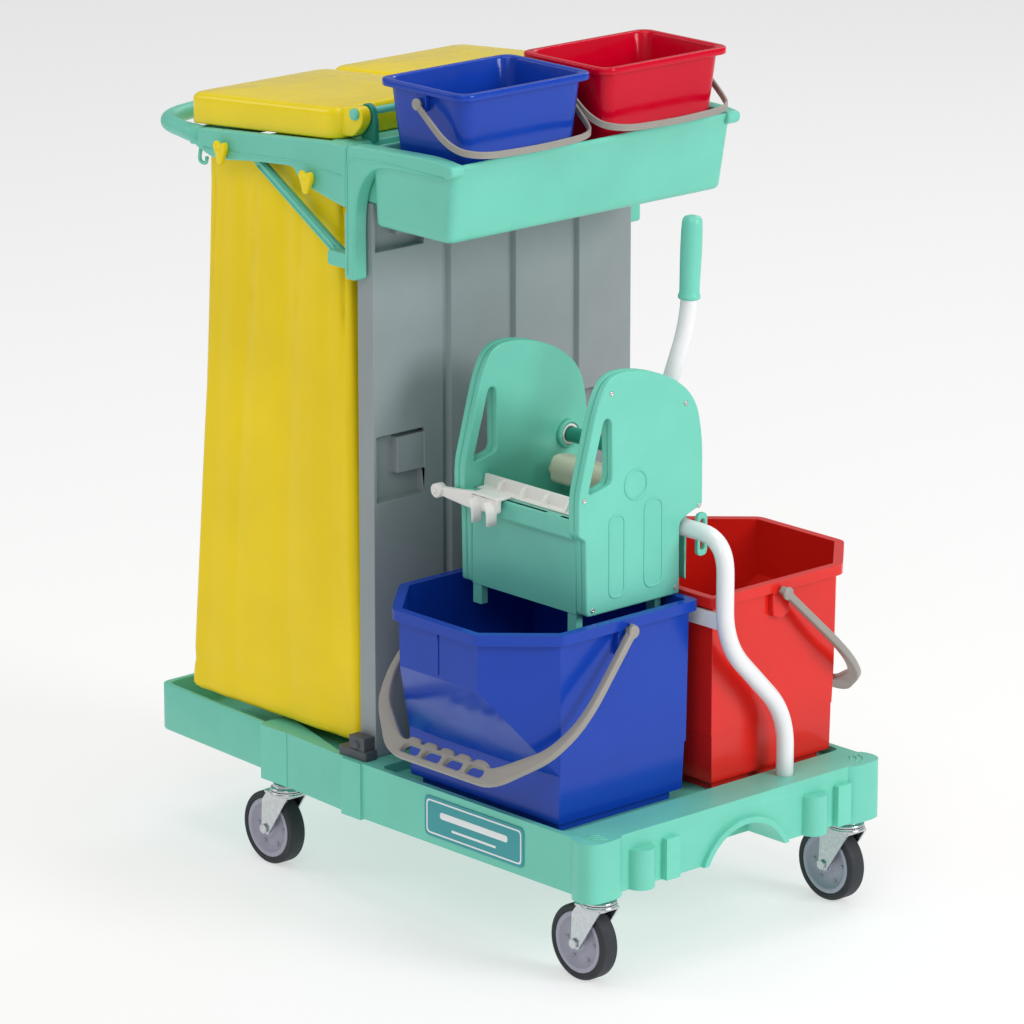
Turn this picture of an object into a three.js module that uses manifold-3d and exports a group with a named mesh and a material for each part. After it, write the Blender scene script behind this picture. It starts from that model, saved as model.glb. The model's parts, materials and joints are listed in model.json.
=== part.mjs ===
// Housekeeping cart: a moulded base on four swivel casters, a grooved upright panel with a
// top tray, a folding bag frame with two lids and two bags, two mop buckets with a wringer
// hooked on a bent support tube, and two small buckets in the tray.
// Units are millimetres, +Z is up, +X points to the bucket end and -Y is the label side.
// The dimensions below count X from 9.65 cm past the middle of the whole cart; the group is moved
// at the end, so that the origin is on the floor under the middle of the bounding box.
import * as THREE from 'three';
import { ConvexGeometry } from 'three/addons/geometries/ConvexGeometry.js';
import { mergeVertices } from 'three/addons/utils/BufferGeometryUtils.js';
import Module from 'manifold-3d';

const wasm = await Module();
wasm.setup();

// ---------- driving dimensions ----------
const gap = 0.3; // left between touching pieces
const middleX = -96.5; // the middle of the cart's length in the numbers below

const wheel = { radius: 50, width: 25, tread: 9, hubBore: 5.2, axleRadius: 4.8, trail: 27 };
const caster = { frontX: 322, rearX: -282, y: 222, headRadius: 23 };

const base = {
  endX: 342, seamX: -312, halfWidth: 255, taperFrom: -100, taper: 0.072,
  bottom: 122, top: 197, floor: 184, wall: 9, ledgeX: 284, trayX: -66,
};
const extension = { endX: -545, bottom: 131, floor: 150, wall: 8 };
const label = { x0: 31, x1: 219, z0: 133, z1: 187, thickness: 1.2 };

const panel = { x0: -127, x1: -97, halfWidth: 227, bottom: 197 + gap, top: 937, groove: 7,
  grooves: [-100, 13, 126], windows: [584, 900], windowHalf: [44, 28],
};
const foot = { x0: -146, x1: -92, halfDepth: 11, height: 30 };

const tray = {
  x0: -72, x1: 62, topX: 76, halfWidth: 238, topHalfWidth: 244, bottom: 912, top: 1015, wall: 4,
  floor: 917,
};
const bracket = { outer: 252, inner: 229, legX0: -124, legX1: -104, legBottom: 838, seamX: -119 };

const frameArm = { outer: 252, inner: 239, x0: -420, height: 42, top: 1012, tilt: 0.082 };
const lid = { x0: -448, x1: -150, height: 40, wall: 3, halfWidth: 240, split: 3 };
const lidHinge = { x: -127, z: 1048, pinRadius: 5 };
const brace = { lowX: -148, lowZ: 861, length: 212, angle: 2.605, y0: 228.3, y1: 236.7 };

const bag = { y0: 6, y1: 224, topX0: -434, topX1: -162, lowX0: -487, lowX1: -135, bottom: 203, top: 980 };

const largeBucket = {
  halfX: 154, depth: 316, rim: 451, rimBand: 14, floor: 184 + gap, body: 198, wall: 3.2,
  chamferX: 76, chamferY: 80, kneeZ: 375, bailPivotY: 125, bailRadius: 4,
};
const blueLarge = { x: 122, y: -6, side: -1 };
const redLarge = { x: 134, y: 6, side: 1 };

const smallBucket = { halfX: 82, halfY: 113, bottom: 917 + gap, rim: 1104, rimBand: 9, wall: 2.6,
  radius: 20 };
const blueSmall = { x: 1, y: -121 };
const redSmall = { x: 1, y: 121 };

const wringer = {
  x0: 8, x1: 242, cover: 20, bottom: 452, frontY: -170, backY: -8, wall: 4, axleY: -4, axleZ: 620,
  frontTop: 577,
};
const supportTube = { radius: 11.5, nearX: 308, farX: -52, y: 9, footY: 120, barZ: 535, bend: 42 };
const lever = { x: 200, radius: 11, gripRadius: 14.5, topZ: 930 };

// ---------- materials ----------
const finish = (color, roughness, metalness = 0) => new THREE.MeshStandardMaterial({ color, roughness,
  metalness });
const finishes = {
  mint: finish(0x6fcdb7, 0.4), darkMint: finish(0x3f9d8a, 0.4), yellow: finish(0xecd62e, 0.35),
  bagFilm: finish(0xe6cc2e, 0.45), blue: finish(0x2a50b4, 0.3), red: finish(0xd21a2e, 0.3),
  smallRed: finish(0xd3062f, 0.3), bailGrey: finish(0xa09d98, 0.4), panelGrey: finish(0x8f999c, 0.5),
  footGrey: finish(0x55595c, 0.5), white: finish(0xe8e8ea, 0.35), cream: finish(0xe9e4cf, 0.5),
  teal: finish(0x4aa3a8, 0.4), tyre: finish(0x4a5056, 0.7), hub: finish(0xa8a8b4, 0.45),
  zinc: finish(0xc9cdd0, 0.25, 1),
};

// ---------- helpers ----------
const group = new THREE.Group();

function solid(geometry) {
  const bare = geometry.clone();
  bare.deleteAttribute('normal');
  bare.deleteAttribute('uv');
  const merged = mergeVertices(bare, 1e-4);
  const vertProperties = new Float32Array(merged.attributes.position.array);
  const triVerts = new Uint32Array(merged.index.array);
  const corner = (i) => new THREE.Vector3().fromArray(vertProperties, triVerts[i] * 3);
  let volume = 0;
  for (let i = 0; i < triVerts.length; i += 3) volume += corner(i).dot(corner(i + 1).cross(corner(i + 2)));
  // some sweeps and lathes come out inside out, so their triangles are turned over
  if (volume < 0) {
    for (let i = 0; i < triVerts.length; i += 3) [triVerts[i], triVerts[i + 1]] = [triVerts[i + 1],
      triVerts[i]];
  }
  return new wasm.Manifold(new wasm.Mesh({ numProp: 3, vertProperties, triVerts }));
}

function surface(body) {
  const mesh = body.getMesh();
  const geometry = new THREE.BufferGeometry();
  geometry.setAttribute('position', new THREE.BufferAttribute(new Float32Array(mesh.vertProperties), 3));
  geometry.setIndex(new THREE.BufferAttribute(new Uint32Array(mesh.triVerts), 1));
  geometry.computeVertexNormals();
  return geometry;
}

function add(name, body, material, parent = group) {
  const mesh = new THREE.Mesh(body.isBufferGeometry ? body : surface(body), material);
  mesh.name = name;
  parent.add(mesh);
  return mesh;
}

const join = (...bodies) => bodies.reduce((whole, body) => whole.add(body));
const point = (x, y, z) => new THREE.Vector3(x, y, z);

// a block between two opposite corners
function block(x0, x1, y0, y1, z0, z1) {
  const box = new THREE.BoxGeometry(x1 - x0, y1 - y0, z1 - z0);
  return solid(box.translate((x0 + x1) / 2, (y0 + y1) / 2, (z0 + z1) / 2));
}

const hull = (points) => solid(new ConvexGeometry(points));

function outline(points, radius = 0) {
  const shape = new THREE.Shape();
  points.forEach(([x, y], i) => {
    const before = points[(i + points.length - 1) % points.length];
    const after = points[(i + 1) % points.length];
    const reach = (to) => Math.min(radius, Math.hypot(to[0] - x, to[1] - y) / 2.01)
      / Math.hypot(to[0] - x, to[1] - y);
    if (radius === 0) {
      if (i === 0) shape.moveTo(x, y);
      else shape.lineTo(x, y);
      return;
    }
    const a = [x + (before[0] - x) * reach(before), y + (before[1] - y) * reach(before)];
    const b = [x + (after[0] - x) * reach(after), y + (after[1] - y) * reach(after)];
    if (i === 0) shape.moveTo(...a);
    else shape.lineTo(...a);
    shape.quadraticCurveTo(x, y, ...b);
  });
  shape.closePath();
  return shape;
}

// an outline in XY raised from z0 to z1
function raised(points, z0, z1, radius = 0, curveSegments = 3) {
  const geometry = new THREE.ExtrudeGeometry(outline(points, radius),
    { depth: z1 - z0, bevelEnabled: false, curveSegments });
  return solid(geometry.translate(0, 0, z0));
}

// an outline in XZ, as thick as y0 to y1
function sideways(points, y0, y1, radius = 0, curveSegments = 3) {
  const geometry = new THREE.ExtrudeGeometry(outline(points, radius),
    { depth: y1 - y0, bevelEnabled: false, curveSegments });
  return solid(geometry.rotateX(Math.PI / 2).translate(0, y1, 0));
}

// an outline in YZ, as thick as x0 to x1
function across(points, x0, x1, radius = 0, curveSegments = 3) {
  const geometry = new THREE.ExtrudeGeometry(outline(points, radius),
    { depth: x1 - x0, bevelEnabled: false, curveSegments });
  return solid(geometry.rotateX(Math.PI / 2).rotateZ(Math.PI / 2).translate(x0, 0, 0));
}

function cylinderZ(x, y, z0, z1, radius, sides = 20, topRadius = radius) {
  const geometry = new THREE.CylinderGeometry(topRadius, radius, z1 - z0, sides);
  return solid(geometry.rotateX(Math.PI / 2).translate(x, y, (z0 + z1) / 2));
}

function cylinderY(x, z, y0, y1, radius, sides = 20) {
  return solid(new THREE.CylinderGeometry(radius, radius, y1 - y0, sides).translate(x, (y0 + y1) / 2, z));
}

function cylinderX(y, z, x0, x1, radius, sides = 20) {
  const geometry = new THREE.CylinderGeometry(radius, radius, x1 - x0, sides);
  return solid(geometry.rotateZ(Math.PI / 2).translate((x0 + x1) / 2, y, z));
}

// a bar of a given section swept along a curve
function swept(curve, steps, section) {
  return solid(new THREE.ExtrudeGeometry(section, { steps, extrudePath: curve, bevelEnabled: false }));
}

function disc(radius, sides) {
  const shape = new THREE.Shape();
  for (let i = 0; i < sides; i++) {
    const turn = (i / sides) * Math.PI * 2;
    if (i === 0) shape.moveTo(radius, 0);
    else shape.lineTo(radius * Math.cos(turn), radius * Math.sin(turn));
  }
  shape.closePath();
  return shape;
}

// a path of straight runs whose corners are rounded
function bentPath(corners, radius) {
  const path = new THREE.CurvePath();
  let from = corners[0];
  for (let i = 1; i < corners.length - 1; i++) {
    const reach = Math.min(radius, corners[i].distanceTo(corners[i - 1]) / 2.2,
      corners[i].distanceTo(corners[i + 1]) / 2.2);
    const into = corners[i].clone().add(corners[i - 1].clone().sub(corners[i]).setLength(reach));
    const out = corners[i].clone().add(corners[i + 1].clone().sub(corners[i]).setLength(reach));
    path.add(new THREE.LineCurve3(from, into));
    path.add(new THREE.QuadraticBezierCurve3(into, corners[i], out));
    from = out;
  }
  path.add(new THREE.LineCurve3(from, corners[corners.length - 1]));
  return path;
}

const sides = [['front', -1], ['rear', 1]];
const widthAt = (x) => base.halfWidth - Math.max(0, base.taperFrom - x) * base.taper;

// ---------- base ----------
function buildBase() {
  const seamHalf = widthAt(base.seamX);
  let body = raised([
    [base.seamX, -seamHalf], [base.taperFrom, -base.halfWidth], [base.endX, -base.halfWidth],
    [base.endX, base.halfWidth], [base.taperFrom, base.halfWidth], [base.seamX, seamHalf],
  ], base.bottom, base.top);
  for (const side of [-1, 1]) {
    const y = side * 230;
    body = body.add(raised([[302, y - 33], [350, y - 33], [350, y + 33], [302, y + 33]], base.bottom - 4,
      base.top, 26, 5));
    const postHalf = widthAt(-283) + 3;
    const inner = side * (postHalf - 40);
    body = body.add(block(-309, -256, Math.min(inner, side * postHalf), Math.max(inner, side * postHalf),
      base.bottom, base.top));
    body = body.add(block(-131, -93, Math.min(side * 225, side * 258), Math.max(side * 225, side * 258),
      base.bottom - 2, base.top));
  }
  for (const y of [-170, 138]) body = body.add(cylinderZ(base.endX, y, base.bottom, base.top - 22, 19, 16));
  for (const y of [-120, 188]) body = body.add(block(base.endX - 4, base.endX + 9, y - 12, y + 12,
    base.bottom, base.top - 20));
  const arch = cylinderX(13, 88, base.endX - 60, base.endX + 30, 76, 32);
  const archLip = cylinderX(13, 88, base.endX, base.endX + 7, 84, 32)
    .intersect(block(base.endX - 1, base.endX + 8, -100, 126, base.bottom, base.top));
  body = body.add(archLip);
  const innerWidth = base.halfWidth - base.wall;
  const wellFront = raised([[base.trayX, -innerWidth], [base.ledgeX, -innerWidth],
    [base.ledgeX, innerWidth], [base.trayX, innerWidth]],
    base.floor, base.top + 5, 12, 3);
  const wellBack = raised([[-300, -widthAt(-300) + 44], [-152, -widthAt(-152) + 10],
    [-152, widthAt(-152) - 10], [-300, widthAt(-300) - 44]],
    base.floor, base.top + 5, 8, 3);
  body = body.subtract(wellFront).subtract(wellBack).subtract(arch);
  // the underside is a hollow moulding with a deck 4 thick
  const deck = base.floor - 4;
  const hollow = [[-250, -146], [-80, 90], [100, 270]];
  for (const [x0, x1] of hollow) {
    const half = widthAt(x0) - base.wall;
    body = body.subtract(block(x0, x1, -half, half, base.bottom - 6, deck));
  }
  for (const x of [supportTube.nearX, supportTube.farX]) {
    body = body.subtract(cylinderZ(x, supportTube.footY, base.bottom + 20, base.top + 5,
      supportTube.radius + 0.5, 16));
  }
  return body;
}

function buildExtension() {
  const x0 = extension.endX;
  const x1 = base.seamX - gap;
  const rim = [[x0, -widthAt(x0)], [x1, -widthAt(x1) + 2], [x1, widthAt(x1) - 2], [x0, widthAt(x0)]];
  const inside = rim.map(([x, y]) => [x + (x === x0 ? extension.wall : 1),
    y - Math.sign(y) * extension.wall]);
  return raised(rim, extension.bottom, base.top, 10, 3)
    .subtract(raised(inside, extension.floor, base.top + 5, 6, 3));
}

add('base_platform', buildBase(), finishes.mint);
add('base_extension', buildExtension(), finishes.mint);
add('label_plate', block(label.x0, label.x1, -base.halfWidth - gap - label.thickness, -base.halfWidth - gap,
  label.z0, label.z1), finishes.teal);

// ---------- casters ----------
const casterPlaces = [
  ['front_right', caster.frontX, -1], ['rear_right', caster.frontX, 1],
  ['front_left', caster.rearX, -1], ['rear_left', caster.rearX, 1],
];

function buildFork() {
  const leg = (side) => {
    const profile = [[-wheel.trail - 7, 43], [-wheel.trail + 7, 43], [16, 97], [20, 103], [-22, 103],
      [-wheel.trail - 5, 90]];
    return sideways(profile, side * 16 - 1.5, side * 16 + 1.5, 2, 2);
  };
  const crown = raised([[-30, -17.5], [20, -17.5], [20, 17.5], [-30, 17.5]], 101, 104, 6, 3);
  const ring = cylinderZ(0, 0, 103.5, 108, caster.headRadius, 24);
  return join(leg(-1), leg(1), crown, ring)
    .subtract(cylinderY(-wheel.trail, 50, -20, 20, wheel.axleRadius + gap, 12));
}

function wheelProfile(points) {
  return points.map(([r, t]) => new THREE.Vector2(r, t));
}

function turnedY(points, segments) {
  return solid(new THREE.LatheGeometry(wheelProfile([...points, points[0]]), segments));
}

for (const [place, x, side] of casterPlaces) {
  const y = side * caster.y;
  const head = join(
    cylinderZ(x, y, 108 + gap, 113, caster.headRadius, 24),
    cylinderZ(x, y, 112, base.bottom - 4 - gap, caster.headRadius - 4, 24),
  );
  add(`caster_head_${place}`, head, finishes.zinc);
  add(`caster_fork_${place}`, buildFork().translate([x, y, 0]), finishes.zinc);
  const half = wheel.width / 2;
  const rimRadius = wheel.radius - wheel.tread;
  const hub = turnedY([[wheel.hubBore, -half - 1], [12, -half - 1], [15, -5], [32, -5], [36, -half + 1],
    [rimRadius - gap, -half + 1],
    [rimRadius - gap, half - 1], [36, half - 1], [32, 5], [15, 5], [12, half + 1],
      [wheel.hubBore, half + 1]], 18);
  add(`wheel_hub_${place}`, hub.translate([x - wheel.trail, y, 50]), finishes.hub);
  const tyre = turnedY([[rimRadius, -half], [wheel.radius - 4, -half], [wheel.radius, -half + 5],
    [wheel.radius, half - 5],
    [wheel.radius - 4, half], [rimRadius, half]], 32);
  add(`tyre_${place}`, tyre.translate([x - wheel.trail, y, 50]), finishes.tyre);
  const axle = join(
    cylinderY(x - wheel.trail, 50, y - 20, y + 20, wheel.axleRadius, 12),
    cylinderY(x - wheel.trail, 50, y - 21, y - 17.5 - gap, 7, 6),
    cylinderY(x - wheel.trail, 50, y + 17.5 + gap, y + 21, 7, 6),
  );
  add(`wheel_axle_${place}`, axle, finishes.zinc);
}

// ---------- upright panel ----------
function buildPanel() {
  let body = block(panel.x0, panel.x1, -panel.halfWidth, panel.halfWidth, panel.bottom, panel.top);
  for (const y of panel.grooves) {
    body = body.subtract(raised([[panel.x1 - panel.groove, y - 3], [panel.x1 - panel.groove, y + 3],
      [panel.x1 + 1, y + 8], [panel.x1 + 1, y - 8]],
      215, 915));
  }
  // hanger windows, each with a hook tongue standing in it
  for (const side of [-1, 1]) {
    panel.windows.forEach((z, i) => {
      const [low, high] = side < 0 ? [-222, -140] : [140, 222];
      const half = panel.windowHalf[i];
      body = body.subtract(block(panel.x1 - 14, panel.x1 + 1, low, high, z - half, z + half));
      body = body.add(block(panel.x1 - 15, panel.x1 - 1, low + 36, high, z - 10, z + half - 6));
    });
  }
  return body;
}
add('upright_panel', buildPanel(), finishes.panelGrey);

for (const [place, side] of sides) {
  const y = side * (panel.halfWidth + gap + foot.halfDepth);
  const body = join(
    raised([[foot.x0, y - foot.halfDepth], [foot.x1, y - foot.halfDepth], [foot.x1, y + foot.halfDepth],
      [foot.x0, y + foot.halfDepth]],
      panel.bottom, panel.bottom + 12, 4, 2),
    block(panel.x0, panel.x1, y - foot.halfDepth + 2, y + foot.halfDepth - 2, panel.bottom + 11,
      panel.bottom + foot.height),
  );
  add(`panel_foot_${place}`, body, finishes.footGrey);
}

// ---------- top tray with its side brackets ----------
function buildTray() {
  const foot8 = (x0, x1, half, z) => [point(x0, -half, z), point(x1, -half, z), point(x1, half, z),
    point(x0, half, z)];
  const outer = hull([
    ...foot8(tray.x0 + 3, tray.x1 - 3, tray.halfWidth - 3, tray.bottom),
      ...foot8(tray.x0, tray.x1, tray.halfWidth, tray.bottom + 4),
    ...foot8(tray.x0, tray.topX, tray.topHalfWidth, tray.top),
  ]);
  const inner = hull([
    ...foot8(tray.x0 + tray.wall, tray.x1 - tray.wall, tray.halfWidth - tray.wall, tray.floor),
    ...foot8(tray.x0 + tray.wall, tray.topX - tray.wall, tray.topHalfWidth - tray.wall, tray.top + 8),
  ]);
  const beam = block(panel.x0 + 12, tray.x0 + 3, -panel.halfWidth, panel.halfWidth, panel.top + gap, 1000);
  let body = join(outer, beam);
  for (const side of [-1, 1]) {
    const y0 = side < 0 ? -bracket.outer : bracket.inner;
    const y1 = side < 0 ? -bracket.inner : bracket.outer;
    const cheek = sideways([
      [bracket.legX0, bracket.legBottom], [bracket.legX1, bracket.legBottom], [bracket.legX1, 935],
        [-97, 962], [-82, 984],
      [-60, 994], [70, 1000], [82, 1006], [82, 1018], [40, 1021], [-110, 1014], [bracket.seamX + gap, 1008],
      [bracket.seamX + gap, 928], [bracket.legX0, 924],
    ], y0, y1);
    // an ear on the leg holds the moulded stud that the brace turns on
    const ear = block(brace.lowX - 10, bracket.legX0 + 1,
      Math.min(side * (brace.y1 + gap), side * (bracket.outer - 1)),
      Math.max(side * (brace.y1 + gap), side * (bracket.outer - 1)), brace.lowZ - 10, brace.lowZ + 10);
    const stud = cylinderY(brace.lowX, brace.lowZ, Math.min(side * brace.y0, side * (brace.y1 + 4)),
      Math.max(side * brace.y0, side * (brace.y1 + 4)), 4.2, 12);
    body = join(body, cheek, ear, stud);
  }
  return body.subtract(inner);
}
add('top_tray', buildTray(), finishes.mint);

// ---------- bag frame, tilted down towards the handle ----------
const tiltZ = (x, z) => z + (x + 152) * frameArm.tilt;

function buildBagFrame() {
  const armTop = frameArm.top;
  let body = null;
  const put = (piece) => { body = body ? body.add(piece) : piece; };
  for (const side of [-1, 1]) {
    const y0 = side < 0 ? -frameArm.outer : frameArm.inner;
    const y1 = side < 0 ? -frameArm.inner : frameArm.outer;
    put(sideways([
      [-152, tiltZ(-152, armTop - frameArm.height - 4)], [-212, tiltZ(-212, armTop - frameArm.height - 14)],
      [-222, tiltZ(-222, armTop - frameArm.height + 6)], [-300, tiltZ(-300, armTop - frameArm.height + 4)],
      [-380, tiltZ(-380, armTop - frameArm.height)], [frameArm.x0, tiltZ(frameArm.x0, armTop - 26)],
      [frameArm.x0, tiltZ(frameArm.x0, armTop - 2)], [-152, armTop],
    ], y0, y1));
    put(sideways([[-153, 930], [bracket.seamX - gap, 930], [bracket.seamX - gap, 1011], [-153, 1011]], y0,
      y1, 7, 4));
  }
  // rear deck, cross bar and divider around the two bag mouths
  put(block(-153, bracket.seamX - gap, -frameArm.inner - 2, frameArm.inner + 2, 1000 + gap, 1012));
  put(block(-160, -146, -frameArm.inner - 2, frameArm.inner + 2, 985, 1012));
  put(hull([
    ...[-4, 4].flatMap((y) => [point(-420, y, tiltZ(-420, armTop - 22)),
      point(-420, y, tiltZ(-420, armTop - 2)),
      point(-150, y, armTop - 22), point(-150, y, armTop - 2)]),
  ]));
  put(hull([
    ...[-frameArm.outer, frameArm.outer].flatMap((y) => [point(-434, y * 0.985, tiltZ(-434, armTop - 26)),
      point(-434, y * 0.985, tiltZ(-434, armTop - 4)),
      point(-418, y, tiltZ(-418, armTop - 26)), point(-418, y, tiltZ(-418, armTop - 2))]),
  ]));
  // handle: a bow past the far end of the lids
  const bow = [
    point(-424, -241, tiltZ(-424, 998)), point(-520, -226, tiltZ(-520, 1010)),
      point(-543, -120, tiltZ(-543, 1012)),
    point(-543, 120, tiltZ(-543, 1012)), point(-520, 226, tiltZ(-520, 1010)),
      point(-424, 241, tiltZ(-424, 998)),
  ];
  put(swept(bentPath(bow, 60), 20, disc(11, 8)));
  // ears that carry the lid pins
  for (const y of [-205, -34, 34, 205]) {
    put(sideways([[-138, 1011], [-112, 1011], [-112, 1040], [-118, 1057], [-127, 1060], [-136, 1057],
      [-140, 1046]], y - 4, y + 4));
    body = body.subtract(cylinderY(lidHinge.x, lidHinge.z, y - 6, y + 6, lidHinge.pinRadius + gap, 12));
  }
  return body;
}
add('bag_frame', buildBagFrame(), finishes.mint);

for (const [place, side] of sides) {
  const y0 = side < 0 ? -brace.y1 : brace.y0;
  const y1 = side < 0 ? -brace.y0 : brace.y1;
  const pinHole = cylinderY(0, 0, y0 - 2, y1 + 2, 4.6, 12);
  const bar = sideways([
    [-10, -7], [brace.length - 8, -5], [brace.length, 0], [brace.length - 8, 5], [-2, 10], [-10, 7],
  ], y0, y1, 3, 2).subtract(pinHole);
  const upright = bar.rotate([0, -(brace.angle * 180) / Math.PI, 0]).translate([brace.lowX, 0, brace.lowZ]);
  add(`brace_${place}`, upright, finishes.mint);
}

// ---------- lids ----------
function buildLid(side) {
  const near = side < 0 ? -lid.halfWidth : lid.split;
  const far = side < 0 ? -lid.split : lid.halfWidth;
  const low = 1013;
  const shell = (inset, bottom, height) => {
    const plan = [
      [lid.x0 + inset, near + inset], [lid.x1 - inset, near + inset], [lid.x1 - inset, far - inset],
        [lid.x0 + inset, far - inset],
    ];
    const crown = [];
    for (const [x, y] of plan) {
      const towardsX = x < -300 ? 12 : -12;
      const towardsY = y < (near + far) / 2 ? 12 : -12;
      crown.push(point(x, y, tiltZ(x, bottom)), point(x, y, tiltZ(x, bottom + height - 9)));
      crown.push(point(x + towardsX, y + towardsY, tiltZ(x, bottom + height)));
    }
    const middle = (near + far) / 2;
    crown.push(point(-380, middle, tiltZ(-380, bottom + height + 5)),
      point(-220, middle, tiltZ(-220, bottom + height + 5)));
    return hull(crown);
  };
  let body = shell(0, low, lid.height).subtract(shell(lid.wall, low - 3, lid.height));
  const lugs = side < 0 ? [-220, -20] : [20, 220];
  for (const y of lugs) {
    body = body.add(sideways([[-153, 1026], [-136, 1034], [-118, 1036], [-115, 1048], [-122, 1058],
      [-133, 1060], [-153, 1052]], y - 8, y + 8));
    body = body.subtract(cylinderY(lidHinge.x, lidHinge.z, y - 10, y + 10, lidHinge.pinRadius + gap, 12));
  }
  return body;
}

for (const [place, side] of sides) {
  add(`lid_${place}`, buildLid(side), finishes.yellow);
}
add('lid_hinge_rod', cylinderY(lidHinge.x, lidHinge.z, -231, 231, lidHinge.pinRadius, 12), finishes.mint);

// ---------- bags: plain hollow sacks, open at the top ----------
for (const [place, side] of sides) {
  const sack = (inset, low) => {
    const y0 = side < 0 ? -bag.y1 + inset : bag.y0 + inset;
    const y1 = side < 0 ? -bag.y0 - inset : bag.y1 - inset;
    const topZ = (x) => tiltZ(x, bag.top) + (inset ? 6 : 0);
    return hull([y0, y1].flatMap((y) => [
      point(bag.topX0 + inset, y, topZ(bag.topX0)), point(bag.topX1 - inset, y, topZ(bag.topX1)),
      point(bag.lowX0 + inset, y, low + 16), point(bag.lowX1 - inset, y, low + 16),
      point(bag.lowX0 + inset + 10, y, low), point(bag.lowX1 - inset - 10, y, low),
    ]));
  };
  add(`bag_${place}`, sack(0, bag.bottom).subtract(sack(3, bag.bottom + 3)), finishes.bagFilm);
}

// turn knobs that pinch the bags against the arms
for (const [place, side] of sides) {
  for (const [end, x, z] of [['inner', -186, 957], ['outer', -356, 968]]) {
    const y = side * (frameArm.outer + gap);
    const far = side * (frameArm.outer + 13);
    const blade = sideways([[x - 4, z - 17], [x + 4, z - 17], [x + 13, z + 6], [x + 8, z + 14],
      [x, z + 9], [x - 8, z + 14], [x - 13, z + 6]],
      Math.min(y + side * 4, far), Math.max(y + side * 4, far));
    const boss = cylinderY(x, z, Math.min(y, far), Math.max(y, far), 7, 12);
    add(`bag_knob_${end}_${place}`, join(blade, boss), finishes.yellow);
  }
}

// ---------- large buckets ----------
// Outer and inner surfaces come from the same recipe, moved in by the wall.
function largeBucketBody(at, inset, low) {
  const b = largeBucket;
  const top = b.rim + (inset > 0 ? 4 : 0);
  const half = b.halfX - 9 - inset;
  const back = 9 + inset;
  const front = b.depth - 9 - inset;
  const corner = front - b.chamferY + 6;
  const place = (x, y, z) => point(at.x + x, at.y + at.side * y, z);
  const upper = hull([-1, 1].flatMap((s) => [
    place(s * half, back, top), place(s * half, corner, top),
      place(s * (half - b.chamferX + 6), front, top),
    place(s * (half - 2), back + 2, 262), place(s * half, corner - 2, 315),
      place(s * (half - b.chamferX + 4), front, b.kneeZ),
    place(s * (half - b.chamferX + 4), corner + 2, 262), place(s * (half - 2), corner - 3, 262),
  ]));
  const lower = hull([-1, 1].flatMap((s) => [
    place(s * (half - 5), 15 + inset, low), place(s * (half - 5), corner - 3, low),
    place(s * (half - 2), back + 2, 300), place(s * (half - 2), corner - 3, 300),
  ]));
  return join(upper, lower);
}

function largeBucketRim(at, grow, z0, z1) {
  const b = largeBucket;
  const x = b.halfX + grow;
  const points = [
    [-x, -grow], [x, -grow], [x, b.depth - b.chamferY + grow * 0.4],
      [x - b.chamferX + grow * 0.4, b.depth + grow],
    [-x + b.chamferX - grow * 0.4, b.depth + grow], [-x, b.depth - b.chamferY + grow * 0.4],
  ].map(([px, py]) => [at.x + px, at.y + at.side * py]);
  return raised(at.side < 0 ? points.reverse() : points, z0, z1, 8, 2);
}

function buildLargeBucket(at) {
  const b = largeBucket;
  let body = join(
    largeBucketBody(at, 0, b.body),
    largeBucketRim(at, 0, b.rim - b.rimBand, b.rim),
  );
  const skirtY = [at.y + at.side * 26, at.y + at.side * (b.depth - 97)].sort((p, q) => p - q);
  body = body.add(block(at.x - b.halfX + 25, at.x + b.halfX - 25, skirtY[0], skirtY[1], b.floor,
    b.body + 4));
  for (const s of [-1, 1]) {
    const pivotY = at.y + at.side * b.bailPivotY;
    const x0 = at.x + s * (b.halfX - 10);
    const x1 = at.x + s * (b.halfX - 1);
    body = body.add(block(Math.min(x0, x1), Math.max(x0, x1), pivotY - 14, pivotY + 14, b.rim - 46,
      b.rim - 6));
  }
  return body.subtract(largeBucketBody(at, b.wall, b.body + 3));
}

// the bail hangs in front of the pod, its two arms pivoting outside the side walls
function buildLargeBail(at) {
  const b = largeBucket;
  const place = (x, y, z) => point(at.x + x, at.y + at.side * y, z);
  const reach = b.halfX + 7;
  const z = b.rim - 15;
  // the bail lies in a plane 45 degrees off the vertical, s along it and x across it
  const slant = (x, s) => place(x, b.bailPivotY + s * Math.SQRT1_2, z - s * Math.SQRT1_2);
  const bow = bentPath([
    slant(reach, 0), slant(reach + 17, 138), slant(reach - 6, 196), slant(reach - 70, 252),
    slant(-reach + 70, 252), slant(-reach + 6, 196), slant(-reach - 17, 138), slant(-reach, 0),
  ], 34);
  let body = swept(bow, 24, disc(b.bailRadius, 6));
  for (const s of [-1, 1]) {
    const x0 = at.x + s * (b.halfX + gap);
    const x1 = at.x + s * (reach + 4);
    body = body.add(cylinderX(at.y + at.side * b.bailPivotY, z, Math.min(x0, x1), Math.max(x0, x1), 6, 12));
  }
  return body;
}

add('large_bucket_blue', buildLargeBucket(blueLarge), finishes.blue);
add('large_bucket_red', buildLargeBucket(redLarge), finishes.red);
add('large_bail_blue', buildLargeBail(blueLarge), finishes.bailGrey);
add('large_bail_red', buildLargeBail(redLarge), finishes.bailGrey);

// ---------- small buckets ----------
function roundedLoop(at, halfX, halfY) {
  return [[at.x - halfX, at.y - halfY], [at.x + halfX, at.y - halfY], [at.x + halfX, at.y + halfY],
    [at.x - halfX, at.y + halfY]];
}

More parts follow.
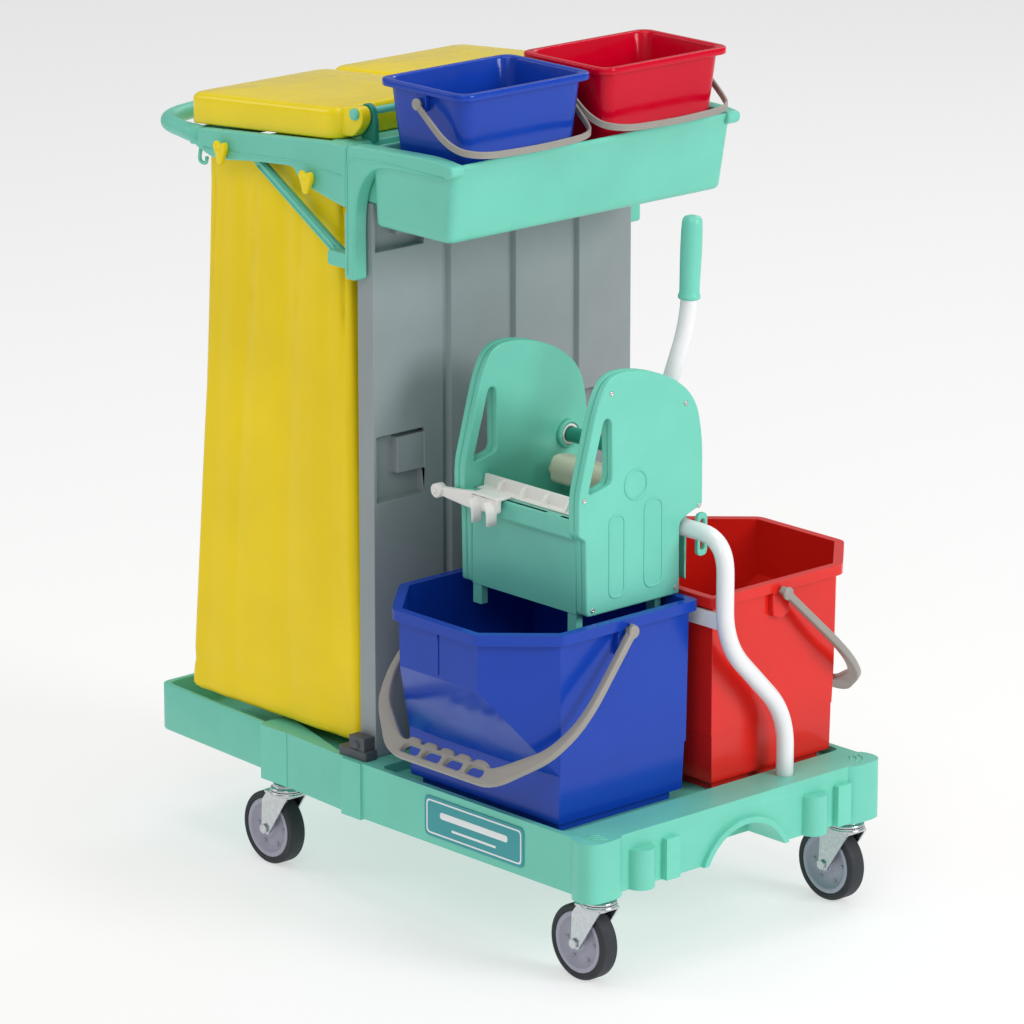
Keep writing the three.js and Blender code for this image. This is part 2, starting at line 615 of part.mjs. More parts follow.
function smallBody(at, inset, z0, z1) {
  const b = smallBucket;
  const corners = [];
  for (const [z, t] of [[z0, 0], [z1, 1]]) {
    const halfX = b.halfX - 27 + 19 * t - inset;
    const halfY = b.halfY - 24 + 16 * t - inset;
    for (const [x, y] of roundedLoop({ x: 0, y: 0 }, halfX - b.radius, halfY - b.radius)) {
      for (let i = 0; i <= 4; i++) {
        const turn = Math.atan2(Math.sign(y), Math.sign(x)) + ((i - 2) / 4) * (Math.PI / 2);
        corners.push(point(at.x + x + b.radius * Math.cos(turn), at.y + y + b.radius * Math.sin(turn), z));
      }
    }
  }
  return hull(corners);
}

function buildSmallBucket(at) {
  const b = smallBucket;
  const rim = raised(roundedLoop(at, b.halfX, b.halfY), b.rim - b.rimBand, b.rim, 24, 4);
  let body = join(smallBody(at, 0, b.bottom, b.rim - 1), rim);
  for (const s of [-1, 1]) {
    const y0 = at.y + s * (b.halfY - 9);
    const y1 = at.y + s * (b.halfY - 2);
    body = body.add(block(at.x - 10, at.x + 10, Math.min(y0, y1), Math.max(y0, y1), b.rim - 34, b.rim - 5));
  }
  return body.subtract(smallBody(at, b.wall, b.bottom + 3, b.rim + 2));
}

function buildSmallBail(at) {
  const b = smallBucket;
  const z = b.rim - 22;
  const reach = b.halfY + 4;
  const bow = bentPath([
    point(at.x, at.y - reach, z), point(at.x + 62, at.y - reach, 1034),
      point(at.x + 96, at.y - reach + 24, 1027),
    point(at.x + 99, at.y, 1025), point(at.x + 96, at.y + reach - 24, 1027),
      point(at.x + 62, at.y + reach, 1034), point(at.x, at.y + reach, z),
  ], 26);
  let body = swept(bow, 22, disc(3, 6));
  for (const s of [-1, 1]) {
    const y0 = at.y + s * (b.halfY - 2 + gap);
    const y1 = at.y + s * (reach + 2);
    body = body.add(cylinderY(at.x, z, Math.min(y0, y1), Math.max(y0, y1), 5, 10));
  }
  return body;
}

add('small_bucket_blue', buildSmallBucket(blueSmall), finishes.blue);
add('small_bucket_red', buildSmallBucket(redSmall), finishes.smallRed);
add('small_bail_blue', buildSmallBail(blueSmall), finishes.bailGrey);
add('small_bail_red', buildSmallBail(redSmall), finishes.bailGrey);

// ---------- support tube ----------
function buildSupportTube() {
  const t = supportTube;
  const foot = base.bottom + 21;
  const path = bentPath([
    point(t.nearX, t.footY, foot), point(t.nearX, t.footY, 280), point(t.nearX, t.y, 395),
      point(t.nearX, t.y, t.barZ),
    point(t.farX, t.y, t.barZ), point(t.farX, t.y, 395), point(t.farX, t.footY, 280),
      point(t.farX, t.footY, foot),
  ], t.bend);
  return swept(path, 44, disc(t.radius, 10))
    .add(block(t.farX + 4, t.nearX - 4, t.y - 4, t.y + 4, 412, 434));
}
add('support_tube', buildSupportTube(), finishes.white);

// ---------- wringer ----------
const coverOutline = [
  [-170, 452], [-8, 452], [-8, 549], [12, 556], [32, 561], [32, 660], [17, 705], [-22, 738], [-83, 758],
    [-129, 757],
  [-150, 732], [-184, 612], [-184, 560], [-172, 552],
];
const coverWindow = [[-167, 611], [-127, 620], [-128, 702], [-139, 704]];

function buildCover(x0, x1) {
  return across(coverOutline, x0, x1, 6, 3).subtract(across(coverWindow, x0 - 1, x1 + 1, 6, 2))
    .subtract(cylinderX(wringer.axleY, wringer.axleZ, x0 - 1, x1 + 1, 9.5, 16));
}
const nearInner = wringer.x1 - wringer.cover;
const farInner = wringer.x0 + wringer.cover;
add('wringer_cover_near', buildCover(nearInner, wringer.x1), finishes.mint);
add('wringer_cover_far', buildCover(wringer.x0, farInner), finishes.mint);

function buildWringerBody() {
  const x0 = farInner + gap;
  const x1 = nearInner - gap;
  const front = join(
    block(x0, x1, wringer.frontY, wringer.frontY + wringer.wall, wringer.bottom, wringer.frontTop),
    block(x0, x1, wringer.frontY - 8, wringer.frontY + 4, wringer.frontTop - 25, wringer.frontTop),
  );
  const back = block(x0, x1, wringer.backY - wringer.wall, wringer.backY, wringer.bottom, 575);
  // the hook flange goes over the bar of the support tube and down behind it
  const hook = across([[-12, 548], [23.5, 548], [23.5, 462], [26.5, 458], [27.5, 557], [-12, 566]],
    x0, x1 - 4);
  const floor = block(x0, x1, wringer.frontY, wringer.backY, wringer.bottom, wringer.bottom + 4);
  let body = join(front, back, hook, floor);
  for (let i = 0; i < 5; i++) {
    for (let j = 0; j < 3; j++) {
      const x = x0 + 22 + i * 39;
      const y = wringer.frontY + 24 + j * 44;
      body = body.subtract(block(x - 12, x + 12, y - 14, y + 14, wringer.bottom - 1, wringer.bottom + 6));
    }
  }
  for (const x of [x0, x1 - 16]) {
    body = body.add(block(x, x + 16, wringer.frontY + 1, wringer.frontY + 12, wringer.bottom - 26,
      wringer.bottom + 2));
    body = body.add(block(x, x + 16, wringer.backY - 24, wringer.backY - 13, wringer.bottom - 26,
      wringer.bottom + 2));
  }
  return body;
}
add('wringer_body', buildWringerBody(), finishes.mint);

// fixed front press plate with its ribs, and the moving one on two arms
function buildFixedPlate() {
  const x0 = farInner + 3;
  const x1 = nearInner - 3;
  const y = wringer.frontY + wringer.wall + gap;
  let body = across([[y, 470], [y + 4, 470], [y + 19, 594], [y + 15, 594]], x0, x1);
  for (const x of [60, 105, 150, 195]) body = body.add(across([[y, 471], [y, 562], [y + 16, 588],
    [y + 3, 470]], x - 1.5, x + 1.5));
  return body;
}
add('press_plate_fixed', buildFixedPlate(), finishes.white);

add('wringer_axle', join(
  cylinderX(wringer.axleY, wringer.axleZ, wringer.x0 + 2, wringer.x1 - 6, 9, 16),
  cylinderX(wringer.axleY, wringer.axleZ, farInner + 8, nearInner - 8, 10, 16),
), finishes.darkMint);

function buildMovingPlate() {
  const x0 = farInner + 14;
  const x1 = lever.x - 18;
  const arm = (x) => across([[-18, 622], [8, 612], [-14, 572], [-30, 572]], x - 5, x + 5);
  const face = across([[-50, 566], [-24, 562], [-17, 570], [-20, 600], [-46, 602], [-52, 590]], x0, x1, 5,
    2);
  const pin = cylinderX(-34, 578, farInner + 1, x0 + 2, 6, 12);
  return join(face, pin, arm(54), arm(160))
    .add(cylinderX(wringer.axleY, wringer.axleZ, 49, 59, 15, 16))
    .add(cylinderX(wringer.axleY, wringer.axleZ, 155, 165, 15, 16))
    .subtract(cylinderX(wringer.axleY, wringer.axleZ, 0, 240, 10 + gap, 16));
}
add('press_plate_moving', buildMovingPlate(), finishes.cream);

for (const [place, x] of [['near', nearInner - 6], ['far', farInner + gap]]) {
  add(`axle_bush_${place}`, cylinderX(wringer.axleY, wringer.axleZ, x, x + 5.5, 14, 18)
    .subtract(cylinderX(wringer.axleY, wringer.axleZ, x - 1, x + 7, 10 + gap, 16)), finishes.white);
}

function buildLeverTube() {
  const path = bentPath([point(lever.x, -14, 655), point(lever.x, 44.5, 793), point(lever.x, 49.8, 912)],
    30);
  const clampRing = cylinderX(wringer.axleY, wringer.axleZ, lever.x - 9, lever.x + 9, 19, 18);
  const stem = across([[-20, 628], [4, 632], [0, 668], [-24, 664]], lever.x - 9, lever.x + 9);
  return join(swept(path, 8, disc(lever.radius, 10)), clampRing, stem)
    .subtract(cylinderX(wringer.axleY, wringer.axleZ, lever.x - 12, lever.x + 12, 10 + gap, 16));
}
add('lever_tube', buildLeverTube(), finishes.white);

const gripCurve = new THREE.LineCurve3(point(lever.x, 46, 821), point(lever.x, 50.6, lever.topZ));
add('lever_grip', swept(gripCurve, 1, disc(lever.gripRadius, 16))
  .subtract(swept(new THREE.LineCurve3(point(lever.x, 44.9, 800), point(lever.x, 50, 916)), 1,
    disc(lever.radius + 0.8, 12))),
  finishes.mint);

function buildArmClip() {
  const y = wringer.frontY - 14 - gap;
  return join(
    block(-12, 100, y - 9, y, 562, 580),
    cylinderY(-12, 571, y - 14, y + 2, 9.5, 14),
    block(58, 65, y - 16, y, 545, 582),
    block(88, 95, y - 16, y, 545, 582),
    block(50, 95, y - 9, wringer.frontY + 3, wringer.frontTop + gap, wringer.frontTop + 5),
    block(50, 95, y - 9, y, 575, wringer.frontTop + 4),
  );
}
add('arm_clip', buildArmClip(), finishes.white);

group.position.x = -middleX;

export default group;
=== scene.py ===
# Housekeeping cart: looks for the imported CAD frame. Lengths in the shape code are millimetres.
import json
import math
import bmesh
import bpy
import numpy as np
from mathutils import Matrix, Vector


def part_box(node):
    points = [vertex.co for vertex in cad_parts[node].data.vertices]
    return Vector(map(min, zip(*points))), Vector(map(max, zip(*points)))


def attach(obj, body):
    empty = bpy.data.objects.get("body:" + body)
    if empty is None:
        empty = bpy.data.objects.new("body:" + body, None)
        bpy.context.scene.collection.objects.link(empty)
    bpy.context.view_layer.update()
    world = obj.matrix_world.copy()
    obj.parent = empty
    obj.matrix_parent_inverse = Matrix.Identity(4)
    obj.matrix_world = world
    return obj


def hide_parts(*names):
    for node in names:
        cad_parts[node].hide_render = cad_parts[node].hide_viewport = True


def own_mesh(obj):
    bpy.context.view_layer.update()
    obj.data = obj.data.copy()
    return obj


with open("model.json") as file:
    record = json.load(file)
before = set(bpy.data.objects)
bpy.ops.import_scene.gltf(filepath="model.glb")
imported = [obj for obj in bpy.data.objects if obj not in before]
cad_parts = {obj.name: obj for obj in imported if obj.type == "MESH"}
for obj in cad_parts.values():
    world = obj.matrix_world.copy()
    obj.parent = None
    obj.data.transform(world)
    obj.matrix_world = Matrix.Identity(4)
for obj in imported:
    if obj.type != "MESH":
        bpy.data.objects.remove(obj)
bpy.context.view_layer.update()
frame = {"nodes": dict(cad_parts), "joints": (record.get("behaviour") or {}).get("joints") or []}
print("frame loaded:", len(frame["nodes"]), "nodes")

# places read from the frame, and the frame's tilt


def span(node):
    # x0, x1, y0, y1, z0, z1 of a CAD node in millimetres
    low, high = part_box(node)
    return [1000 * v for pair in zip(low, high) for v in pair]


def jointAt(name):
    for joint in frame["joints"]:
        if joint["name"] == name:
            return np.array(joint["pos_m"]) * 1000


frameTilt = 0.082  # the bag frame falls by this much per millimetre towards the handle
deckEnd = span("base_platform")[1] - 19  # flat end face of the base, behind its lugs

# camera and light
cameraLook = {"azimuth": 47.51, "elevation": 15.92, "distance": 7.715, "lens": 209.3,
              "target": (0.0792, -0.0597, 0.515)}


def buildCamera():
    turn, lift = math.radians(cameraLook["azimuth"]), math.radians(cameraLook["elevation"])
    back = Vector((math.sin(turn) * math.cos(lift), -math.cos(turn) * math.cos(lift), math.sin(lift)))
    data = bpy.data.cameras.new("camera")
    data.lens = cameraLook["lens"]
    data.sensor_width = 36
    data.clip_end = 60
    camera = bpy.data.objects.new("camera", data)
    camera.location = Vector(cameraLook["target"]) + back * cameraLook["distance"]
    camera.rotation_euler = (-back).to_track_quat("-Z", "Y").to_euler()
    bpy.context.scene.collection.objects.link(camera)
    bpy.context.scene.camera = camera


studio = {"world": 0.34, "lamps": [((3.2, -4.2, 4.6), 2.6, 62), ((5.2, 1.6, 3.0), 2.2, 160),
                                   ((-4.0, -3.0, 3.4), 2.4, 36), ((-1.5, 4.5, 4.0), 2.6, 50),
                                   ((0.3, -0.3, 5.6), 2.8, 75)]}


def buildStudio():
    world = bpy.data.worlds.new("studio")
    world.use_nodes = True
    world.node_tree.nodes["Background"].inputs["Color"].default_value = (1, 1, 1, 1)
    world.node_tree.nodes["Background"].inputs["Strength"].default_value = studio["world"]
    bpy.context.scene.world = world
    for i, (place, size, power) in enumerate(studio["lamps"]):
        data = bpy.data.lights.new(f"softbox{i}", "AREA")
        data.size = size
        data.energy = power
        lamp = bpy.data.objects.new(f"softbox{i}", data)
        lamp.location = place
        lamp.rotation_euler = (Vector((0, 0, 0.5)) - Vector(place)).to_track_quat("-Z", "Y").to_euler()
        bpy.context.scene.collection.objects.link(lamp)


buildCamera()
buildStudio()
bpy.context.scene.view_settings.view_transform = "Standard"
print("camera and studio ready")

# materials


def toLinear(code):
    # sRGB hex to linear red, green, blue, alpha
    parts = [int(code[i:i + 2], 16) / 255 for i in (1, 3, 5)]
    return tuple(c / 12.92 if c <= 0.04045 else ((c + 0.055) / 1.055) ** 2.4 for c in parts) + (1.0,)


def shade(code, factor):
    return tuple(min(1.0, c * factor) for c in toLinear(code)[:3]) + (1.0,)


def addNode(tree, kind, settings=None, links=None):
    # one node with its settings (sockets or fields) and the sockets that feed it
    made = tree.nodes.new(kind)
    for key, value in (settings or {}).items():
        if key in made.inputs:
            made.inputs[key].default_value = value
        else:
            setattr(made, key, value)
    for socket, (source, output) in (links or {}).items():
        tree.links.new(source.outputs[output], made.inputs[socket])
    return made


def startMaterial(name, settings):
    material = bpy.data.materials.new(name)
    material.use_nodes = True
    tree = material.node_tree
    shader = tree.nodes["Principled BSDF"]
    for key, value in settings.items():
        shader.inputs[key].default_value = value
    place = addNode(tree, "ShaderNodeTexCoord")
    return material, tree, shader, place


def setRamp(node, stops):
    for element, (position, color) in zip(node.color_ramp.elements, stops):
        element.position = position
        element.color = color
    return node


def feed(tree, source, output, target, socket):
    tree.links.new(source.outputs[output], target.inputs[socket])


def mouldedPlastic(name, code, roughness, spread=0.035, grain=1.4, bump=0.05, shine=0.35, rub=0.14):
    # injection moulded polypropylene: even colour, a soft gloss with flow marks about 70 mm
    # long, a fine spark-eroded grain, and paler rubbed edges
    material, tree, shader, place = startMaterial(name, {"IOR": 1.49, "Specular IOR Level": shine})
    flow = addNode(tree, "ShaderNodeTexNoise", {"Scale": 1000 / 70, "Detail": 3.0},
                   {"Vector": (place, "Object")})
    tone = setRamp(addNode(tree, "ShaderNodeValToRGB", {}, {"Fac": (flow, "Fac")}),
                   [(0.3, shade(code, 1 - spread)), (0.7, shade(code, 1 + spread))])
    form = addNode(tree, "ShaderNodeNewGeometry")
    edge = addNode(tree, "ShaderNodeMapRange", {"From Min": 0.54, "From Max": 0.66, "To Min": 0.0,
                                                "To Max": rub}, {"Value": (form, "Pointiness")})
    worn = addNode(tree, "ShaderNodeMixRGB", {"Color2": shade(code, 1.4)},
                   {"Fac": (edge, "Result"), "Color1": (tone, "Color")})
    feed(tree, worn, "Color", shader, "Base Color")
    haze = addNode(tree, "ShaderNodeTexNoise", {"Scale": 1000 / 24, "Detail": 4.0},
                   {"Vector": (place, "Object")})
    gloss = addNode(tree, "ShaderNodeMapRange", {"From Min": 0.3, "From Max": 0.7,
                                                 "To Min": roughness - 0.04, "To Max": roughness + 0.06},
                    {"Value": (haze, "Fac")})
    feed(tree, gloss, "Result", shader, "Roughness")
    pits = addNode(tree, "ShaderNodeTexNoise", {"Scale": 1000 / grain, "Detail": 2.0},
                   {"Vector": (place, "Object")})
    relief = addNode(tree, "ShaderNodeBump", {"Strength": bump, "Distance": 0.00015},
                     {"Height": (pits, "Fac")})
    feed(tree, relief, "Normal", shader, "Normal")
    return material


def coatedCloth(name, code):
    # polyester cloth with a plastic coating: a plain weave of 1.2 mm squares, drawn coarser than
    # the real 0.5 mm threads so that it shows, under a smooth film with a soft sheen
    material, tree, shader, place = startMaterial(name,
                                                  {"IOR": 1.48, "Sheen Weight": 0.05,
                                                   "Specular IOR Level": 0.3,
                                                         "Sheen Roughness": 0.5, "Roughness": 0.46})
    flow = addNode(tree, "ShaderNodeTexNoise", {"Scale": 1000 / 160, "Detail": 3.0},
                   {"Vector": (place, "Object")})
    tone = setRamp(addNode(tree, "ShaderNodeValToRGB", {}, {"Fac": (flow, "Fac")}),
                   [(0.3, shade(code, 0.95)), (0.7, shade(code, 1.05))])
    feed(tree, tone, "Color", shader, "Base Color")
    warp = addNode(tree, "ShaderNodeTexWave", {"Scale": 1000 / 1.2 / 6.28, "bands_direction": "Z"},
                   {"Vector": (place, "Object")})
    weft = addNode(tree, "ShaderNodeTexWave", {"Scale": 1000 / 1.2 / 6.28, "bands_direction": "DIAGONAL"},
                   {"Vector": (place, "Object")})
    weave = addNode(tree, "ShaderNodeMath", {"operation": "ADD"})
    feed(tree, warp, "Fac", weave, 0)
    feed(tree, weft, "Fac", weave, 1)
    threads = addNode(tree, "ShaderNodeBump", {"Strength": 0.06, "Distance": 0.0004},
                      {"Height": (weave, "Value")})
    creases = addNode(tree, "ShaderNodeTexNoise", {"Scale": 1000 / 45, "Detail": 5.0, "Distortion": 0.6},
                      {"Vector": (place, "Object")})
    soft = addNode(tree, "ShaderNodeBump", {"Strength": 0.22, "Distance": 0.006},
                   {"Height": (creases, "Fac"), "Normal": (threads, "Normal")})
    feed(tree, soft, "Normal", shader, "Normal")
    return material


def powderCoat(name, code, roughness=0.26):
    # powder coated steel: even colour with the slight orange peel of baked powder, 3 mm across
    material, tree, shader, place = startMaterial(name, {"Coat Weight": 0.35, "Coat Roughness": 0.1,
                                                         "Roughness": roughness,
                                                         "Base Color": toLinear(code)})
    peel = addNode(tree, "ShaderNodeTexNoise", {"Scale": 1000 / 3, "Detail": 2.0},
                   {"Vector": (place, "Object")})
    relief = addNode(tree, "ShaderNodeBump", {"Strength": 0.07, "Distance": 0.0004},
                     {"Height": (peel, "Fac")})
    feed(tree, relief, "Normal", shader, "Normal")
    dust = addNode(tree, "ShaderNodeTexNoise", {"Scale": 1000 / 60, "Detail": 4.0},
                   {"Vector": (place, "Object")})
    gloss = addNode(tree, "ShaderNodeMapRange", {"From Min": 0.35, "From Max": 0.7,
                                                 "To Min": roughness, "To Max": roughness + 0.12},
                    {"Value": (dust, "Fac")})
    feed(tree, gloss, "Result", shader, "Roughness")
    return material


def platedSteel(name, code, roughness):
    # pressed steel with bright zinc: cloudy crystals about 6 mm across and fine handling marks
    material, tree, shader, place = startMaterial(name, {"Metallic": 1.0})
    clouds = addNode(tree, "ShaderNodeTexNoise", {"Scale": 1000 / 6, "Detail": 4.0},
                     {"Vector": (place, "Object")})
    tone = setRamp(addNode(tree, "ShaderNodeValToRGB", {}, {"Fac": (clouds, "Fac")}),
                   [(0.3, shade(code, 0.86)), (0.7, shade(code, 1.08))])
    feed(tree, tone, "Color", shader, "Base Color")
    gloss = addNode(tree, "ShaderNodeMapRange", {"From Min": 0.3, "From Max": 0.7,
                                                 "To Min": roughness - 0.06, "To Max": roughness + 0.12},
                    {"Value": (clouds, "Fac")})
    feed(tree, gloss, "Result", shader, "Roughness")
    marks = addNode(tree, "ShaderNodeBump", {"Strength": 0.05, "Distance": 0.0003},
                    {"Height": (clouds, "Fac")})
    feed(tree, marks, "Normal", shader, "Normal")
    return material


def vulcanisedRubber(name, code):
    # grey solid rubber tread: matt, dusty in the 15 mm patches that touch the floor
    material, tree, shader, place = startMaterial(name, {"IOR": 1.52})
    dust = addNode(tree, "ShaderNodeTexNoise", {"Scale": 1000 / 15, "Detail": 5.0},
                   {"Vector": (place, "Object")})
    tone = setRamp(addNode(tree, "ShaderNodeValToRGB", {}, {"Fac": (dust, "Fac")}),
                   [(0.3, shade(code, 0.85)), (0.75, shade(code, 1.3))])
    feed(tree, tone, "Color", shader, "Base Color")
    gloss = addNode(tree, "ShaderNodeMapRange", {"From Min": 0.3, "From Max": 0.7, "To Min": 0.5,
                                                 "To Max": 0.75}, {"Value": (dust, "Fac")})
    feed(tree, gloss, "Result", shader, "Roughness")
    grit = addNode(tree, "ShaderNodeTexNoise", {"Scale": 1000 / 1.5, "Detail": 2.0},
                   {"Vector": (place, "Object")})
    relief = addNode(tree, "ShaderNodeBump", {"Strength": 0.12, "Distance": 0.0004},
                     {"Height": (grit, "Fac")})
    feed(tree, relief, "Normal", shader, "Normal")
    return material


finishes = {
    "mint": mouldedPlastic("mintPolypropylene", "#72cfb9", 0.34),
    # painted shade: a darker copy of the mint, worn by the lid ears, which sit in shadow between the yellow
    # lids, and by the wringer axle
    "darkMint": mouldedPlastic("darkMintPolypropylene", "#2f8f7c", 0.36),
    "yellow": mouldedPlastic("yellowPolypropylene", "#fadf10", 0.2, bump=0.015, shine=0.4, rub=0.03),
    "bag": coatedCloth("yellowCoatedPolyester", "#f9d900"),
    "blue": mouldedPlastic("bluePolypropylene", "#1140ae", 0.17, bump=0.01, shine=0.3, rub=0.05),
    "red": mouldedPlastic("redPolypropylene", "#e0241c", 0.17, bump=0.01, shine=0.4, rub=0.05),
    "smallRed": mouldedPlastic("crimsonPolypropylene", "#cc0026", 0.16, bump=0.01, shine=0.22, rub=0.05),
    "bail": mouldedPlastic("warmGreyPolypropylene", "#9b9790", 0.36, rub=0.2),
    "panel": mouldedPlastic("greyExtrudedPanel", "#969fa2", 0.45, grain=1.0, bump=0.06, rub=0.08),
    "foot": mouldedPlastic("darkGreyPolypropylene", "#50555a", 0.48),
    "tube": powderCoat("whitePowderCoatedSteel", "#eeeef0"),
    "white": mouldedPlastic("whiteAcetal", "#f1efea", 0.36, spread=0.02),
    "cream": mouldedPlastic("creamPolyamide", "#e9e3cc", 0.4, spread=0.03),
    "teal": mouldedPlastic("tealLabelVinyl", "#3fa0a6", 0.4, grain=0.9, bump=0.02, rub=0.0),
    "border": mouldedPlastic("whiteLabelInk", "#eef4f3", 0.42, grain=0.9, bump=0.02, rub=0.0),
    "tyre": vulcanisedRubber("greyVulcanisedRubber", "#24282d"),
    "hub": mouldedPlastic("lavenderGreyPolyamide", "#a7a7b6", 0.42),
    "zinc": platedSteel("brightZincPlatedSteel", "#ccd0d3", 0.24),
    "screw": platedSteel("nickelPlatedScrew", "#c9c9c6", 0.3),
}
print("materials ready:", len(finishes))

# mesh helpers: every surface is a grid worked out as whole arrays


def addPiece(name, mesh, finish, body, nodes=(), smooth=True):
    piece = bpy.data.objects.new(name, mesh)
    bpy.context.scene.collection.objects.link(piece)
    mesh.materials.clear()
    mesh.materials.append(finishes[finish])
    mesh.polygons.foreach_set("use_smooth", np.full(len(mesh.polygons), smooth))
    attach(piece, body)
    if nodes:
        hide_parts(*nodes)
    return piece


def tidyMesh(mesh, reach=1e-5):
    # doubles merged, then all faces turned outwards
    work = bmesh.new()
    work.from_mesh(mesh)
    bmesh.ops.remove_doubles(work, verts=work.verts, dist=reach)
    bmesh.ops.recalc_face_normals(work, faces=work.faces)
    work.to_mesh(mesh)
    work.free()
    mesh.update()
    return mesh


def gridMesh(name, grid, capStart=True, capEnd=True):
    # rows of closed loops: neighbours are joined by quads, and each end is closed by a fan
    # to the middle of its loop
    rows, count, _ = grid.shape
    a = (np.arange(rows - 1)[:, None] * count + np.arange(count)[None, :])
    b = (np.arange(rows - 1)[:, None] * count + (np.arange(count)[None, :] + 1) % count)
    faces = np.stack([a, b, b + count, a + count], -1).reshape(-1, 4).tolist()
    points = [grid.reshape(-1, 3)]
    turn = np.arange(count)
    for wanted, row in ((capStart, 0), (capEnd, rows - 1)):
        if wanted:
            middle = rows * count + len(points) - 1
            points.append(grid[row].mean(0)[None])
            faces += np.stack([row * count + turn, row * count + (turn + 1) % count,
                               np.full(count, middle)], -1).tolist()
    mesh = bpy.data.meshes.new(name)
    mesh.from_pydata((np.concatenate(points) / 1000).tolist(), [], faces)
    return tidyMesh(mesh)


def roundedLoop(x0, x1, y0, y1, radius, arc=8, straight=6):
    # a rectangle with round corners, walked anticlockwise: each corner is a quarter circle, and
    # each straight side is divided evenly
    corners = [(x1 - radius, y1 - radius, 0), (x0 + radius, y1 - radius, 90),
               (x0 + radius, y0 + radius, 180), (x1 - radius, y0 + radius, 270)]
    arcs = []
    for cx, cy, start in corners:
        turn = np.radians(start + np.linspace(0, 90, arc + 1))
        arcs.append(np.stack([cx + radius * np.cos(turn), cy + radius * np.sin(turn)], -1))
    loop = []
    for i in range(4):
        along = np.linspace(0, 1, straight + 1)[1:-1, None]
        loop += [arcs[i], arcs[i][-1] * (1 - along) + arcs[(i + 1) % 4][0] * along]
    return np.concatenate(loop)


def smoothPath(points, radius, steps=8):
    # a polyline whose inner corners become quadratic curves that start radius before the corner
    points = [np.array(p, float) for p in points]
    path = [points[0][None]]
    share = np.linspace(0, 1, steps + 1)[:, None]
    for before, corner, after in zip(points, points[1:], points[2:]):
        reachIn = min(radius, np.linalg.norm(before - corner) / 2.05)
        reachOut = min(radius, np.linalg.norm(after - corner) / 2.05)
        a = corner + (before - corner) / np.linalg.norm(before - corner) * reachIn
        b = corner + (after - corner) / np.linalg.norm(after - corner) * reachOut
        path.append((1 - share) ** 2 * a + 2 * share * (1 - share) * corner + share ** 2 * b)
    path.append(points[-1][None])
    return np.concatenate(path)


def closedOutline(points, radius=0.0, steps=5):
    # a closed outline with rounded corners; a point may carry its own radius as a third number
    outline = []
    share = np.linspace(0, 1, steps + 1)[:, None]
    for i, corner in enumerate(points):
        own = corner[2] if len(corner) > 2 else radius
        here = np.array(corner[:2], float)
        before = np.array(points[i - 1][:2], float)
        after = np.array(points[(i + 1) % len(points)][:2], float)
        if own == 0:
            outline.append(here[None])
            continue
        a = here + (before - here) * min(0.49, own / np.linalg.norm(before - here))
        b = here + (after - here) * min(0.49, own / np.linalg.norm(after - here))
        outline.append((1 - share) ** 2 * a + 2 * share * (1 - share) * here + share ** 2 * b)
    return np.concatenate(outline)


def sweepMesh(name, path, section, sideways, scale=None):
    # a closed section carried along a path: its first axis is sideways x tangent, and its second
    # is square to both; scale stretches it along the way
    path = np.asarray(path, float)
    tangent = np.gradient(path, axis=0)
    tangent /= np.linalg.norm(tangent, axis=1, keepdims=True)
    first = np.cross(np.broadcast_to(np.asarray(sideways, float), path.shape), tangent)
    first /= np.linalg.norm(first, axis=1, keepdims=True)
    second = np.cross(tangent, first)
    grow = np.ones((len(path), 2)) if scale is None else np.asarray(scale, float).reshape(len(path), -1)
    if grow.shape[1] == 1:
        grow = np.repeat(grow, 2, 1)
    grid = (path[:, None] + section[None, :, :1] * grow[:, None, :1] * first[:, None]
            + section[None, :, 1:] * grow[:, None, 1:] * second[:, None])
    return gridMesh(name, grid)


def circle(radius, sides=24):
    turn = np.arange(sides) / sides * 2 * np.pi
    return np.stack([radius * np.cos(turn), radius * np.sin(turn)], -1)


def turnedMesh(name, profile, centre, axis, sides=48):
    # a profile of (radius, height) pairs turned once about an axis through centre
    profile = np.array(profile, float)
    turn = np.arange(sides) / sides * 2 * np.pi
    ring = profile[:, None, :1] * np.stack([np.cos(turn), np.sin(turn)], -1)[None]
    height = np.broadcast_to(profile[:, None, 1:], ring[..., :1].shape)
    order = {"x": [2, 0, 1], "y": [1, 2, 0], "z": [0, 1, 2]}[axis]
    grid = np.concatenate([ring, height], -1)[..., order] + np.array(centre, float)
    closed = bool(abs(profile[0] - profile[-1]).max() < 1e-6)
    return gridMesh(name, grid, not closed, not closed)


